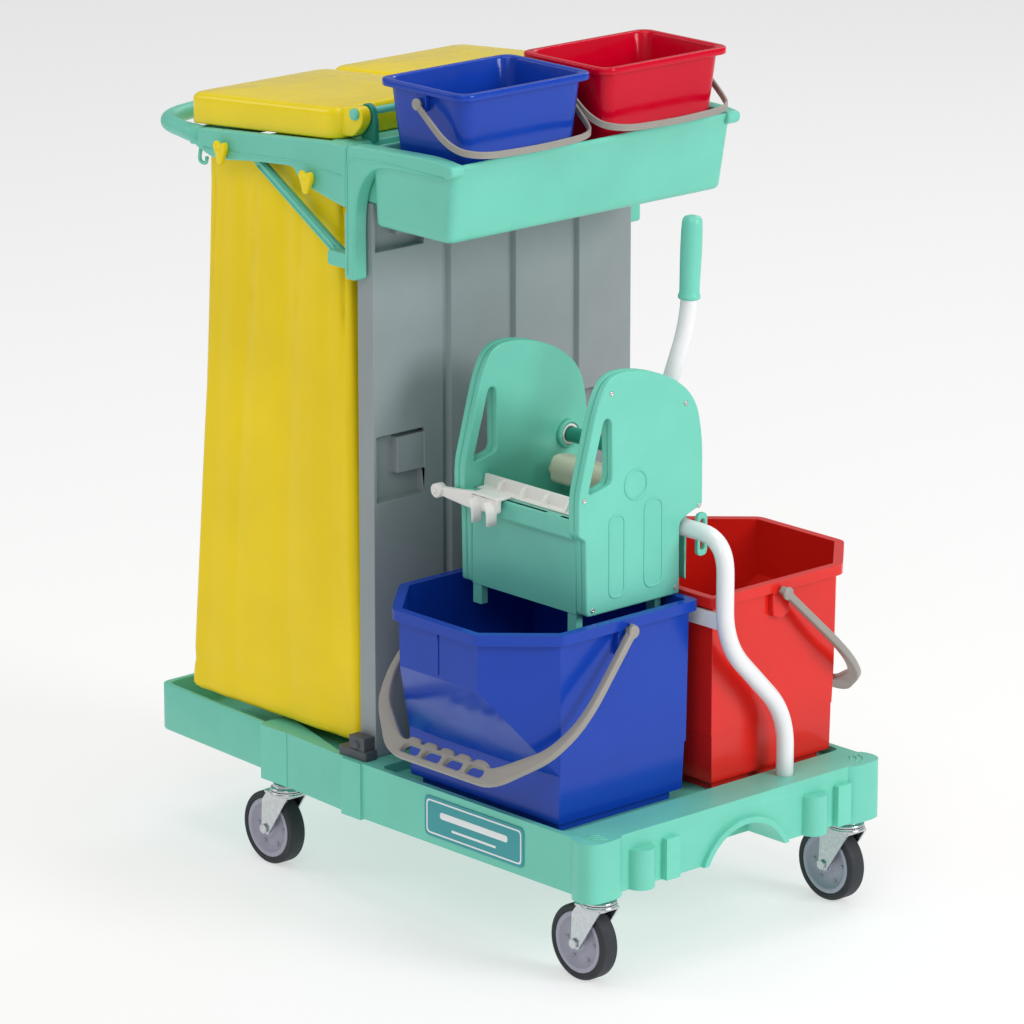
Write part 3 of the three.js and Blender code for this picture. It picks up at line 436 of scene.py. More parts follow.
def plateMesh(name, outlines, low, high, plane, roundEdge=2.0, fineness=2):
    # a flat outline with holes, given thickness between low and high and a rounded edge; plane
    # names the two axes of the outline
    curve = bpy.data.curves.new(name, "CURVE")
    curve.dimensions = "2D"
    curve.fill_mode = "BOTH"
    for outline in outlines:
        spline = curve.splines.new("POLY")
        spline.points.add(len(outline) - 1)
        flat = np.concatenate([outline / 1000, np.zeros((len(outline), 1)), np.ones((len(outline), 1))], 1)
        spline.points.foreach_set("co", flat.ravel())
        spline.use_cyclic_u = True
    half = (high - low) / 2
    edge = min(roundEdge, half * 0.98)
    curve.extrude = (half - edge) / 1000
    curve.bevel_depth = edge / 1000
    curve.bevel_resolution = fineness
    curve.offset = -edge / 1000
    holder = bpy.data.objects.new(name, curve)
    bpy.context.scene.collection.objects.link(holder)
    bpy.context.view_layer.update()
    graph = bpy.context.evaluated_depsgraph_get()
    mesh = bpy.data.meshes.new_from_object(holder.evaluated_get(graph))
    bpy.data.objects.remove(holder)
    points = np.empty(len(mesh.vertices) * 3, np.float32)
    mesh.vertices.foreach_get("co", points)
    flat = points.reshape(-1, 3)
    middle = (low + high) / 2000
    u, v, w = flat[:, 0], flat[:, 1], flat[:, 2] + middle
    placed = {"xy": (u, v, w), "xz": (u, w, v), "yz": (w, u, v)}[plane]
    mesh.vertices.foreach_set("co", np.stack(placed, -1).astype(np.float32).ravel())
    return tidyMesh(mesh)


def addPlate(name, outlines, low, high, plane, finish, body, nodes=(), roundEdge=2.0, fineness=2):
    outlines = outlines if isinstance(outlines, list) else [outlines]
    piece = addPiece(name, plateMesh(name, outlines, low, high, plane, roundEdge, fineness), finish, body,
                     nodes)
    shading = piece.modifiers.new("evenShading", "WEIGHTED_NORMAL")
    shading.keep_sharp = True
    return piece


def rectangle(x0, x1, y0, y1, radius):
    return closedOutline([(x0, y0), (x1, y0), (x1, y1), (x0, y1)], radius)


def bevelledCopy(node, finish, body, width, segments=3, limit=32):
    # the CAD node's own shape, merged and with flat triangles dissolved, under rounded edges
    mesh = frame["nodes"][node].data.copy()
    work = bmesh.new()
    work.from_mesh(mesh)
    bmesh.ops.remove_doubles(work, verts=work.verts, dist=2e-5)
    bmesh.ops.dissolve_limit(work, angle_limit=math.radians(1.5), verts=work.verts, edges=work.edges)
    work.to_mesh(mesh)
    work.free()
    piece = addPiece(node.replace("_", "") + "Shell", mesh, finish, body, [node])
    bevel = piece.modifiers.new("roundedEdges", "BEVEL")
    bevel.width = width / 1000
    bevel.segments = segments
    bevel.limit_method = "ANGLE"
    bevel.angle_limit = math.radians(limit)
    bevel.use_clamp_overlap = True
    bevel.harden_normals = True
    shading = piece.modifiers.new("evenShading", "WEIGHTED_NORMAL")
    shading.keep_sharp = True
    return piece


# base
baseLook = {"edge": 3.5, "arcStep": 9.0}


def buildBase():
    bevelledCopy("base_platform", "mint", "root", baseLook["edge"], 3, 40)
    buildExtension()
    # moulded arcs on the ledge round each end corner: thin raised quarter rings
    x1, top = deckEnd, span("base_platform")[5]
    for side in (-1, 1):
        for i in range(3):
            radius = 12 + i * baseLook["arcStep"]
            turn = np.linspace(0.15, 1.35, 16) * side
            path = np.stack([x1 + 2 - 32 + radius * np.cos(turn), side * 222 + radius * np.sin(turn) * 0.8,
                             np.full(16, top + 0.2)], -1)
            addPiece(f"ledgeArc{i}{'front' if side < 0 else 'rear'}",
                     sweepMesh("ledgeArc", path, circle(1.1, 8), (0, 0, 1)), "mint", "root")


extensionLook = {"wall": 8.0, "floor": 19.0, "corner": 14.0, "endHalf": 223.0, "edge": 2.6}


def buildExtension():
    # a shallow tray: one tapered loop with round far corners, carried up outside, over the rim
    # and down inside to the floor
    x0, x1, y0, y1, z0, z1 = span("base_extension")
    look = extensionLook
    wall, e, floor = look["wall"], look["edge"], z0 + look["floor"]
    rows = []
    for inset, z in ((e, z0), (0.3 * e, z0 + 0.3 * e), (0, z0 + e), (0, z1 - e), (0.3 * e, z1 - 0.3 * e),
                     (e, z1),
                     (wall - e, z1), (wall - 0.3 * e, z1 - 0.3 * e), (wall, z1 - e), (wall, floor + 6),
                     (wall + 2, floor + 2), (wall + 6, floor)):
        near, far = y1 - inset, look["endHalf"] - inset
        seam = min(inset, 1.5)
        loop = closedOutline([(x0 + inset, -far, look["corner"]), (x1 - seam, -near, 1.0),
                              (x1 - seam, near, 1.0), (x0 + inset, far, look["corner"])], 1.0, 6)
        rows.append(np.concatenate([loop, np.full((len(loop), 1), z)], 1))
    addPiece("baseExtensionTray", gridMesh("extension", np.stack(rows)), "mint", "root", ["base_extension"])


labelLook = {"margin": 4.0, "line": 2.2, "corner": 9.0}


def buildLabel():
    # a plain sticker: a teal field inside a white line that follows its round corners
    x0, x1, y0, y1, z0, z1 = span("label_plate")
    m, line, r = labelLook["margin"], labelLook["line"], labelLook["corner"]
    addPlate("labelField", rectangle(x0, x1, z0, z1, r), y0, y1, "xz", "teal", "root", ["label_plate"], 0.5)
    ring = [rectangle(x0 + m, x1 - m, z0 + m, z1 - m, r - m / 2),
            rectangle(x0 + m + line, x1 - m - line, z0 + m + line, z1 - m - line, r - m / 2 - line / 2)]
    addPlate("labelBorder", ring, y0 - 0.25, y0 + 0.3, "xz", "border", "root", [], 0.1)
    # two generic bars stand where the maker's lettering would be
    middle = (z0 + z1) / 2
    for name, a, b, h in (("labelBarUpper", x0 + 30, x1 - 30, 4.5), ("labelBarLower", x0 + 52, x1 - 52, 1.6)):
        z = middle + (5 if h > 2 else -11)
        addPlate(name, rectangle(a, b, z - h, z + h, h * 0.9), y0 - 0.25, y0 + 0.3, "xz", "border", "root",
                 [], 0.1)


# casters
casterLook = {"treadRound": 4.0, "dish": 6.0, "spokes": 6}


def buildCaster(place):
    x0, x1, y0, y1, z0, z1 = span(f"tyre_{place}")
    centre = ((x0 + x1) / 2, (y0 + y1) / 2, (z0 + z1) / 2)
    r, half, t = (x1 - x0) / 2, (y1 - y0) / 2, casterLook["treadRound"]
    rim = r - 9
    turn = np.radians(np.linspace(0, 90, 6))
    # tread: flat between two rounded shoulders, with a shallow moulding line each side
    right = np.stack([r - t + t * np.cos(turn), half - t + t * np.sin(turn)], -1)
    wall = [(rim + 3.2, half), (rim + 2.6, half - 0.5), (rim + 2.0, half), (rim, half)]
    profile = right.tolist() + wall
    profile = [(a, -b) for a, b in reversed(profile)] + profile
    profile.append(profile[0])
    addPiece(f"tread{place}".replace("_", ""), turnedMesh("tread", profile, centre, "y", 64), "tyre",
             f"wheel_{place}", [f"tyre_{place}"])
    # hub: a raised rim, a dished web and a boss on each face
    d = casterLook["dish"]
    face = [(5.4, half + 1), (10, half + 1), (11.5, half), (12, half - 2.5), (15, half - d - 1),
            (20, half - d - 2),
            (29, half - d - 1), (33, half - 3), (34, half - 1), (35, half - 0.3), (rim - 1.2, half - 0.3),
            (rim - 0.3, half - 1.2)]
    hub = face + [(a, -b) for a, b in reversed(face)]
    hub.append(hub[0])
    addPiece(f"hub{place}".replace("_", ""), turnedMesh("hub", hub, centre, "y", 48), "hub",
             f"wheel_{place}", [f"wheel_hub_{place}"])
    # small drain dimples round the web
    for i in range(casterLook["spokes"]):
        angle = i / casterLook["spokes"] * 2 * math.pi
        dot = (centre[0] + 25 * math.cos(angle), 0, centre[2] + 25 * math.sin(angle))
        for side in (-1, 1):
            spot = (dot[0], centre[1] + side * (half - d - 1.2), dot[2])
            addPiece(f"hubDot{i}{'a' if side < 0 else 'b'}{place}".replace("_", ""),
                     turnedMesh("hubDot", [(0.01, 0.8), (1.5, 0.5), (2.2, -0.4), (2.2, -1.5)], spot, "y", 14),
                     "hub", f"wheel_{place}")
    # swivel head: a domed top plate over two pressed ball rings
    hx0, hx1, hy0, hy1, hz0, hz1 = span(f"caster_head_{place}")
    hr = (hx1 - hx0) / 2
    hc = ((hx0 + hx1) / 2, (hy0 + hy1) / 2, 0)
    head = [(0.01, hz0), (hr - 1.5, hz0), (hr - 0.3, hz0 + 0.8), (hr, hz0 + 2), (hr - 0.3, hz0 + 3.4),
            (hr - 2, hz0 + 4.4), (hr - 4, hz0 + 4.9), (hr - 4.4, hz0 + 6), (hr - 4.2, hz1 - 1), (hr - 5, hz1),
            (0.01, hz1)]
    addPiece(f"swivelHead{place}".replace("_", ""), turnedMesh("head", head, hc, "z", 48), "zinc", "root",
             [f"caster_head_{place}"])
    bevelledCopy(f"caster_fork_{place}", "zinc", f"caster_{place}", 0.9, 2)
    fz = hz0 - 0.3
    ring = [(hr - 6, fz - 6), (hr - 1.6, fz - 6.2), (hr + 0.6, fz - 5), (hr + 1.2, fz - 3.4),
            (hr + 0.6, fz - 1.8), (hr - 1, fz - 0.6), (hr - 6, fz - 0.2)]
    ring.append(ring[0])
    addPiece(f"ballRing{place}".replace("_", ""), turnedMesh("ballRing", ring, hc, "z", 48), "zinc",
             f"caster_{place}")
    bevelledCopy(f"wheel_axle_{place}", "zinc", f"caster_{place}", 0.6, 2)


# upright panel
panelLook = {"edge": 1.4}


def buildPanel():
    bevelledCopy("upright_panel", "panel", "root", panelLook["edge"], 2, 20)
    for place, side in (("front", -1), ("rear", 1)):
        bevelledCopy(f"panel_foot_{place}", "foot", "root", 2.2)
        x0, x1, y0, y1, z0, z1 = span(f"panel_foot_{place}")
        outer = y0 if side < 0 else y1
        boss = [(0.01, side * 2.6), (4.0, side * 2.6), (5.2, side * 1.8), (5.6, 0), (5.6, -side * 3)]
        addPiece(f"footBoss{place}", turnedMesh("boss", boss, (x0 + 34, outer - side * 2, z0 + 19), "y", 24),
                 "foot", "root")


# top tray
trayLook = {"corner": 13.0, "fillet": 7.0, "lip": 7.0, "lipOut": 0.9, "wall": 4.0, "cheekEdge": 4.0}


def buildTray():
    x0, x1, y0, y1, z0, z1 = span("top_tray")
    look = trayLook
    frontX, backX, half = x1 - 6, x0 + 76, y1 - 8
    low, top = z0 + 74, z1 - 6
    rows = []

    def ring(inset, z, radius, lean=0.0):
        # the bin tapers by 14 mm at the bucket end and 6 mm at each side
        share = (z - low) / (top - low)
        rows.append(np.concatenate([
            roundedLoop(backX + inset, frontX - inset - 14 * (1 - share) + lean,
                        -half + 6 * (1 - share) + inset - lean, half - 6 * (1 - share) - inset + lean,
                        radius, 8, 10), np.full((4 * (8 + 10), 1), z)], 1))

    f, r, w = look["fillet"], look["corner"], look["wall"]
    for turn in np.radians([90, 70, 50, 30, 12]):
        ring(f * (1 - math.cos(turn)), low + f * (1 - math.sin(turn)), max(6, r - f * (1 - math.cos(turn))))
    for z in (low + f + 4, low + 50, top - look["lip"] - 0.8):
        ring(0, z, r)
    out = look["lipOut"]
    for z, lean in ((top - look["lip"], out * 0.6), (top - look["lip"] + 1.5, out), (top - 3, out),
                    (top - 1, out * 0.7), (top, -0.5)):
        ring(0, z, r, lean)
    for inset, z in ((w - 1.5, top), (w - 0.3, top - 1), (w, top - 3), (w, low + 26), (w + 2, low + 15),
                     (w + 6, low + 8), (w + 14, low + 5)):
        ring(inset, z, max(5, r - inset))
    addPiece("trayBin", gridMesh("trayBin", np.stack(rows)), "mint", "root", ["top_tray"])
    # back beam between the bin and the panel
    addPlate("trayBeam", rectangle(x0 + 9, backX + 6, low + 25.3, top - 15, 5), -half + 17, half - 17, "xz",
             "mint", "root", [], 3)
    legX0, legX1 = x0 + 34, x0 + 54
    for place, side in (("front", -1), ("rear", 1)):
        inner, outer = (y0, y0 + 23) if side < 0 else (y1 - 23, y1)
        cheek = closedOutline([
            (legX0, z0, 5), (legX1, z0, 5), (legX1, z0 + 88, 30), (legX1 + 9, z0 + 126, 30),
            (legX1 + 36, z0 + 154, 30),
            (legX1 + 76, z0 + 158, 20), (x1 - 8, z0 + 161, 6), (x1, z0 + 166, 5), (x1, z0 + 178, 6),
            (x1 - 40, z1, 30), (legX0 + 20, z1 - 6, 30), (legX0 + 5.3, z1 - 10, 5), (legX0 + 5.3, z0 + 90, 2),
            (legX0, z0 + 86, 2)], 4)
        addPlate(f"trayCheek{place}", cheek, inner, outer, "xz", "mint", "root", [], look["cheekEdge"], 3)
        # brace ear and stud on the leg
        stud = jointAt(f"brace_fold_{place}")
        a, b = sorted((side * (abs(stud[1]) + 4.6), side * (y1 - 1)))
        addPlate(f"braceEar{place}", rectangle(stud[0] - 10, legX0 + 6, stud[2] - 10, stud[2] + 10, 6), a, b,
                 "xz", "mint", "root", [], 2)
        pin = [(0.01, -side * 4.4), (3.2, -side * 4.4), (4.2, -side * 3.6), (4.2, side * 6)]
        addPiece(f"braceStud{place}", turnedMesh("stud", pin, stud, "y", 20), "mint", "root")
        # raised bead round the outer edge of the leg
        face = y0 if side < 0 else y1
        bead = smoothPath([(legX0 + 7, face, z0 + 8), (legX0 + 7, face, z1 - 24), (legX1 + 60, face, z1 - 20),
                           (x1 - 16, face, z1 - 21)], 14)
        addPiece(f"cheekBead{place}", sweepMesh("bead", bead, circle(1.2, 10), (0, 1, 0)), "mint", "root")


# bag frame
frameLook = {"armEdge": 3.4, "handleRadius": 12.0, "hook": 5.0}


def tilted(x, z):
    # heights on the frame are given at its panel end
    return z + (x - span("bag_frame")[1] + 40) * frameTilt


def buildBagFrame():
    x0, x1, y0, y1, z0 = span("bag_frame")[:5]
    end = x1 - 40
    low = [(end + 33, z0, 7), (end + 33, z0 + 81, 5)]
    for place, side in (("front", -1), ("rear", 1)):
        inner, outer = (y0, y0 + 13) if side < 0 else (y1 - 13, y1)
        arm = closedOutline(low + [
            (end - 4, tilted(end - 4, 1012), 6), (end - 258, tilted(end - 258, 1010), 10),
            (end - 276, tilted(end - 276, 1001), 10), (end - 270, tilted(end - 270, 986), 14),
            (end - 228, tilted(end - 228, 970), 18), (end - 148, tilted(end - 148, 974), 14),
            (end - 70, tilted(end - 70, 974), 12), (end - 58, tilted(end - 58, 954), 12),
            (end + 2, z0 + 6, 16)], 6)
        addPlate(f"frameArm{place}", arm, inner, outer, "xz", "mint", "bag_frame", ["bag_frame"],
                 frameLook["armEdge"], 3)
        # shallow bead along the arm's lower edge and a small utensil hook under its end
        face = outer if side > 0 else inner
        bead = smoothPath([(end - 250, face, tilted(end - 250, 985)),
                           (end - 150, face, tilted(end - 150, 982)),
                           (end - 66, face, tilted(end - 66, 982)), (end + 26, face, z0 + 42)], 20)
        addPiece(f"armBead{place}", sweepMesh("bead", bead, circle(1.0, 10), (0, 1, 0)), "mint", "bag_frame")
        hook = smoothPath([(end - 262, (inner + outer) / 2, tilted(end - 262, 984)),
                           (end - 266, (inner + outer) / 2, tilted(end - 262, 964)),
                           (end - 252, (inner + outer) / 2, tilted(end - 262, 962)),
                           (end - 250, (inner + outer) / 2, tilted(end - 262, 972))], 8)
        addPiece(f"armHook{place}", sweepMesh("hook", hook, circle(frameLook["hook"] / 2, 12), (0, 1, 0)),
                 "mint", "bag_frame")
    # deck, cross bar and divider round the bag mouths
    addPlate("frameDeck", rectangle(end - 1, end + 32.7, y0 + 11, y1 - 11, 3), z0 + 70.3, z0 + 82, "xy",
             "mint", "bag_frame", [], 2)
    addPlate("frameCrossBar", rectangle(end - 8, end + 6, z0 + 55, z0 + 82, 4), y0 + 11, y1 - 11, "xz",
             "mint", "bag_frame", [], 2)
    divider = closedOutline([(end - 268, tilted(end - 268, 990)), (end + 2, 990), (end + 2, 1010),
                             (end - 268, tilted(end - 268, 1010))], 3)
    addPlate("frameDivider", divider, -4, 4, "xz", "mint", "bag_frame", [], 1.5)
    endBar = closedOutline([(end - 282, tilted(end - 282, 986)), (end - 266, tilted(end - 266, 986)),
                            (end - 266, tilted(end - 266, 1010)), (end - 282, tilted(end - 282, 1008))], 4)
    addPlate("frameEndBar", endBar, y0 + 3, y1 - 3, "xz", "mint", "bag_frame", [], 3)
    # handle: a round bow past the lids, thicker at its two roots
    far = x0 + frameLook["handleRadius"] - 1
    bow = [(end - 262, -241, tilted(end - 262, 998)), (end - 300, -239, tilted(end - 300, 1001)),
           (end - 368, -226, tilted(end - 368, 1010)), (far, -120, tilted(far, 1012)),
           (far, 120, tilted(far, 1012)),
           (end - 368, 226, tilted(end - 368, 1010)), (end - 300, 239, tilted(end - 300, 1001)),
           (end - 262, 241, tilted(end - 262, 998))]
    path = smoothPath(bow, 58, 10)
    share = np.abs(np.linspace(-1, 1, len(path)))
    swell = 1 + 0.12 * np.clip((share - 0.8) / 0.2, 0, 1)
    addPiece("handleBow", sweepMesh("bow", path, circle(frameLook["handleRadius"] - 0.6, 28), (0, 0, 1),
                                    swell[:, None]), "mint", "bag_frame")
    hinge = jointAt("lid_open_front")
    for i, y in enumerate((-205, -34, 34, 205)):
        ear = closedOutline([(end + 14, z0 + 80, 2), (end + 40, z0 + 80, 2), (end + 40, z0 + 106, 5),
                             (end + 35, z0 + 125, 6), (end + 25, z0 + 130, 6), (end + 14, z0 + 126, 6)], 4)
        # painted shade: the ears take the darker copy of the mint because they sit in shadow between the
        # yellow lids
        addPlate(f"lidEar{i}", ear, y - 4, y + 4, "xz", "darkMint", "bag_frame", [], 1.6)
    ry0, ry1 = span("lid_hinge_rod")[2:4]
    rod = [(0.01, ry0), (4.2, ry0), (5, ry0 + 1), (5, ry1 - 1), (4.2, ry1), (0.01, ry1)]
    addPiece("lidRod", turnedMesh("rod", rod, (hinge[0], 0, hinge[2]), "y", 24), "mint", "bag_frame",
             ["lid_hinge_rod"])
    for place, side in (("front", -1), ("rear", 1)):
        # a round mint button closes the rod outside the outer lug
        button = [(0.01, side * 4), (5.5, side * 4), (7.4, side * 2.6), (7.8, 0.0), (7.8, -side * 2)]
        addPiece(f"rodButton{place}", turnedMesh("button", button, (hinge[0], side * 229.5, hinge[2]), "y",
                                                 28), "mint", "bag_frame")


braceLook = {"width": 9.0, "rib": 2.0}


def buildBrace(place):
    x0, x1, y0, y1, z0, z1 = span(f"brace_{place}")
    side = -1 if place == "front" else 1
    pivot = jointAt(f"brace_fold_{place}")
    tip = np.array([x0 + 4, z1 - 4])
    along = tip - pivot[[0, 2]]
    length = np.linalg.norm(along)
    along /= length
    across = np.array([-along[1], along[0]])

    def on(s, t):
        return tuple(pivot[[0, 2]] + along * s + across * t)

    w = braceLook["width"]
    bar = closedOutline([on(-10, -w) + (7,), on(30, -w * 0.85) + (20,), on(length - 16, -w * 0.8) + (8,),
                         on(length, -3) + (4,), on(length, 4) + (4,), on(length - 20, w * 0.8) + (8,),
                         on(30, w * 0.85) + (20,), on(-10, w) + (7,)], 5)
    body = f"brace_{place}"
    addPlate(f"braceBar{place}", bar, y0, y1, "xz", "mint", body, [body], 2.2, 3)
    face = y0 if side < 0 else y1
    for i, t in enumerate((-w * 0.45, w * 0.45)):
        a, b = on(14, t), on(length - 20, t)
        path = np.linspace((a[0], face, a[1]), (b[0], face, b[1]), 12)
        addPiece(f"braceRib{i}{place}", sweepMesh("rib", path, circle(braceLook["rib"] * 0.8, 10), (0, 1, 0)),
                 "mint", body)


# lids
lidLook = {"corner": 20.0, "round": 9.0, "height": 40.0, "crown": 5.0, "wall": 3.0, "lug": 35.0}


def buildLid(place):
    x0, x1, y0, y1 = span(f"lid_{place}")[:4]
    look = lidLook
    back = x1 - look["lug"]
    low = 1013.2
    r = look["round"]
    rows = []

    def ring(inset, height, radius):
        # each ring is leaned so that the whole lid falls towards the handle
        flat = roundedLoop(x0 + inset, back - inset, y0 + inset, y1 - inset, radius, 8, 10)
        rows.append(np.concatenate([flat, (low + height + (flat[:, :1] - back) * frameTilt)], 1))

    for height in (0, 2, 12, 22, look["height"] - r):
        ring(0.4 if height == 0 else 0, height, look["corner"])
    for turn in np.radians(np.linspace(12, 84, 6)):
        ring(r * (1 - math.cos(turn)), look["height"] - r * (1 - math.sin(turn)),
             max(10, look["corner"] - r * (1 - math.cos(turn)) * 0.6))
    inner = rows[-1]
    middle = inner.mean(0)
    # crown: each ring shrinks towards the middle and rises by a smooth dome
    for share in np.linspace(0.94, 0.03, 12):
        rise = look["crown"] * (1 - share ** 2.2)
        grown = middle + (inner - middle) * share
        grown[:, 2] += rise
        rows.append(grown)
    mesh = gridMesh("lid", np.stack(rows), False, True)
    lid = addPiece(f"lidShell{place}", mesh, "yellow", f"lid_{place}", [f"lid_{place}"])
    wall = lid.modifiers.new("wall", "SOLIDIFY")
    wall.thickness = look["wall"] / 1000
    wall.offset = -1
    hinge = jointAt(f"lid_open_{place}")
    for i, y in enumerate((y0 + 20, y1 - 17) if place == "front" else (y0 + 17, y1 - 20)):
        lug = closedOutline([(hinge[0] - 36, hinge[2] - 34, 2), (hinge[0] - 4, hinge[2] - 30, 8),
                             (hinge[0] + 12, hinge[2] - 12, 8), (hinge[0] + 13, hinge[2] + 1, 6),
                             (hinge[0] + 7, hinge[2] + 9, 5), (hinge[0] - 6, hinge[2] + 9, 6),
                             (hinge[0] - 40, hinge[2] + 3, 3)], 4)
        addPlate(f"lidLug{i}{place}", lug, y - 8, y + 8, "xz", "yellow", f"lid_{place}", [], 2.2, 3)


# bags
bagLook = {"corner": 16.0, "foldDepth": 17.0, "wall": 1.2, "around": 44, "levels": 84}


def buildBag(place):
    x0, x1, y0, y1, z0, z1 = span(f"bag_{place}")
    look = bagLook
    topX0, topX1 = x0 + 53, x1 - 27
    phase = 0.0 if place == "front" else 2.1
    # down the bag: t runs from 0 at the mouth to 1 at the hem; the mouth leans with the frame
    levels = np.linspace(0, 1, look["levels"]) ** 0.92
    rows = []
    for t in levels:
        low, high = topX0 + (x0 - topX0) * t, topX1 + (x1 - topX1) * t
        belly = 2.5 * math.sin(math.pi * t)
        loop = roundedLoop(low + belly * 0.6, high - belly, y0 + 1 + belly, y1 - 1 - belly,
                           look["corner"], 8, look["around"])
        edge = np.roll(loop, -1, 0) - np.roll(loop, 1, 0)
        edge /= np.linalg.norm(edge, axis=1, keepdims=True)
        inward = np.stack([-edge[:, 1], edge[:, 0]], -1)
        around = np.arange(len(loop)) / len(loop) * 2 * np.pi + phase
        # folds: slow waves that drift sideways as they fall, sharpened into creases, deep where
        # the cloth is gathered at the knobs and shallow where the hem pulls it flat
        drift = 0.5 * t
        wave = (np.sin(11 * around + 3.0 * drift) + 0.7 * np.sin(17 * around - 4.0 * drift + 1.3)
                + 0.5 * np.sin(29 * around + 2.0 * drift + 0.4))
        crease = np.abs(np.sin(6.5 * around + 1.1 * math.sin(2.2 * t + phase))) ** 0.35
        depth = look["foldDepth"] * (0.3 + 0.7 * math.exp(-((t - 0.14) / 0.3) ** 2)) * min(1, 0.35 + 9 * t)
        push = depth * (0.5 * (wave / 2.2 + 1) / 2 + 0.5 * (1 - crease)) + 0.4
        # near the hem the cloth bags out over its doubled edge
        push += 1.6 * math.exp(-((t - 0.955) / 0.012) ** 2)
        loop = loop + inward * push[:, None]
        topZ = z1 + (loop[:, :1] - topX1) * frameTilt
        rows.append(np.concatenate([loop, topZ + (z0 + 9 - topZ) * t], 1))
    for inset, height in ((2.0, 5.0), (5.0, 2.0), (12.0, 0.6)):
        last = rows[look["levels"] - 1]
        middle = last.mean(0)
        share = 1 - inset / 110
        ring = middle + (last - middle) * share
        ring[:, 2] = z0 + height
        rows.append(ring)
    sack = addPiece(f"bagSack{place}", gridMesh("bag", np.stack(rows), False, True), "bag", "root",
                    [f"bag_{place}"])
    wall = sack.modifiers.new("cloth", "SOLIDIFY")
    wall.thickness = look["wall"] / 1000
    wall.offset = -1
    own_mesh(sack)


def buildKnob(end, place):
    # a butterfly turn knob: two wings on a round boss
    x0, x1, y0, y1, z0 = span(f"bag_knob_{end}_{place}")[:5]
    side = -1 if place == "front" else 1
    x, z = (x0 + x1) / 2, z0 + 17
    low, high = (y0, y1 - 4) if side < 0 else (y0 + 4, y1)
    body = f"knob_{end}_{place}"
    wings = closedOutline([(x - 4, z - 17, 3), (x + 4, z - 17, 3), (x + 9, z - 2, 8), (x + 13, z + 6, 5),
                           (x + 9, z + 14, 5), (x, z + 8, 8), (x - 9, z + 14, 5), (x - 13, z + 6, 5),
                           (x - 9, z - 2, 8)], 5)
    addPlate(f"knobWings{end}{place}", wings, low, high, "xz", "yellow", body, [f"bag_knob_{end}_{place}"],
             3, 3)
    boss = [(0.01, -6.5 * side), (7, -6.5 * side), (7, 5 * side), (5.6, 6.4 * side), (0.01, 6.6 * side)]
    addPiece(f"knobBoss{end}{place}", turnedMesh("boss", boss, (x, (y0 + y1) / 2, z), "y", 28), "yellow",
             body)


# buckets
smallLook = {"corner": 17.0, "rimCorner": 20.0, "wall": 2.6, "fillet": 9.0, "lip": 9.0}


def tubRows(centre, sections):
    # loops of (halfX, halfY, corner, z) about a centre
    return np.stack([np.concatenate([
        roundedLoop(centre[0] - hx, centre[0] + hx, centre[1] - hy, centre[1] + hy, max(2.0, r), 8, 8),
        np.full((64, 1), z)], 1) for hx, hy, r, z in sections])


def buildSmallBucket(tone, finish):
    node = f"small_bucket_{tone}"
    x0, x1, y0, y1, z0, z1 = span(node)
    centre = ((x0 + x1) / 2, (y0 + y1) / 2)
    look = smallLook
    rimX, rimY = (x1 - x0) / 2, (y1 - y0) / 2
    lowX, lowY, topX, topY = rimX - 27, rimY - 24, rimX - 8, rimY - 8
    sections = []

    def wallAt(z, inset, r=None):
        t = (z - z0) / (z1 - z0)
        sections.append((lowX + (topX - lowX) * t - inset, lowY + (topY - lowY) * t - inset,
                         (look["corner"] if r is None else r) + 3 * t, z))

    f, w, lip = look["fillet"], look["wall"], look["lip"]
    for turn in np.radians([90, 68, 45, 22, 0]):
        wallAt(z0 + f * (1 - math.sin(turn)), f * (1 - math.cos(turn)))
    for z in (z0 + 40, z1 - 60, z1 - lip - 3):
        wallAt(z, 0)
    wallAt(z1 - lip - 0.4, -0.6)
    r = look["rimCorner"]
    for grow, z in ((-2.5, z1 - lip), (-0.8, z1 - lip), (0, z1 - lip + 1), (0, z1 - 2), (-0.8, z1 - 0.5),
                    (-2.2, z1), (-7.6, z1)):
        sections.append((rimX + grow, rimY + grow, r + grow, z))
    for z, inset in ((z1 - 0.8, w - 0.6), (z1 - 3, w), (z1 - 60, w), (z0 + 16, w), (z0 + 8, w + 2),
                     (z0 + 4.5, w + 6), (z0 + 3, w + 13)):
        wallAt(z, inset)
    body = f"small_{tone}"
    addPiece(f"smallTub{tone}", gridMesh("tub", tubRows(centre, sections)), finish, body, [node])
    for side in (-1, 1):
        # pivot socket under the lip
        a, b = sorted((centre[1] + side * (rimY - 9.5), centre[1] + side * (rimY - 2)))
        addPlate(f"smallSocket{tone}{'a' if side < 0 else 'b'}",
                 closedOutline([(centre[0] - 10, z1 - 5), (centre[0] - 10, z1 - 26), (centre[0] - 4, z1 - 34),
                                (centre[0] + 4, z1 - 34), (centre[0] + 10, z1 - 26),
                                (centre[0] + 10, z1 - 5)], 4), a, b, "xz", finish, body, [], 1.4)
    buildSmallBail(tone, centre, rimY, z1)


bailLook = {"width": 9.0, "thick": 3.8, "groove": 0.7}


def stripSection(width, thick, groove):
    # a flat strip with rounded edges and two grooves along each face
    across = np.array([-0.5, -0.42, -0.26, -0.18, -0.08, 0.08, 0.18, 0.26, 0.42, 0.5]) * width
    depth = np.array([0.2, 0.5, 0.5, 0.5 - groove / thick, 0.5, 0.5, 0.5 - groove / thick, 0.5, 0.5,
                      0.2]) * thick
    return np.concatenate([np.stack([depth, across], -1), np.stack([-depth[::-1], across[::-1]], -1)])


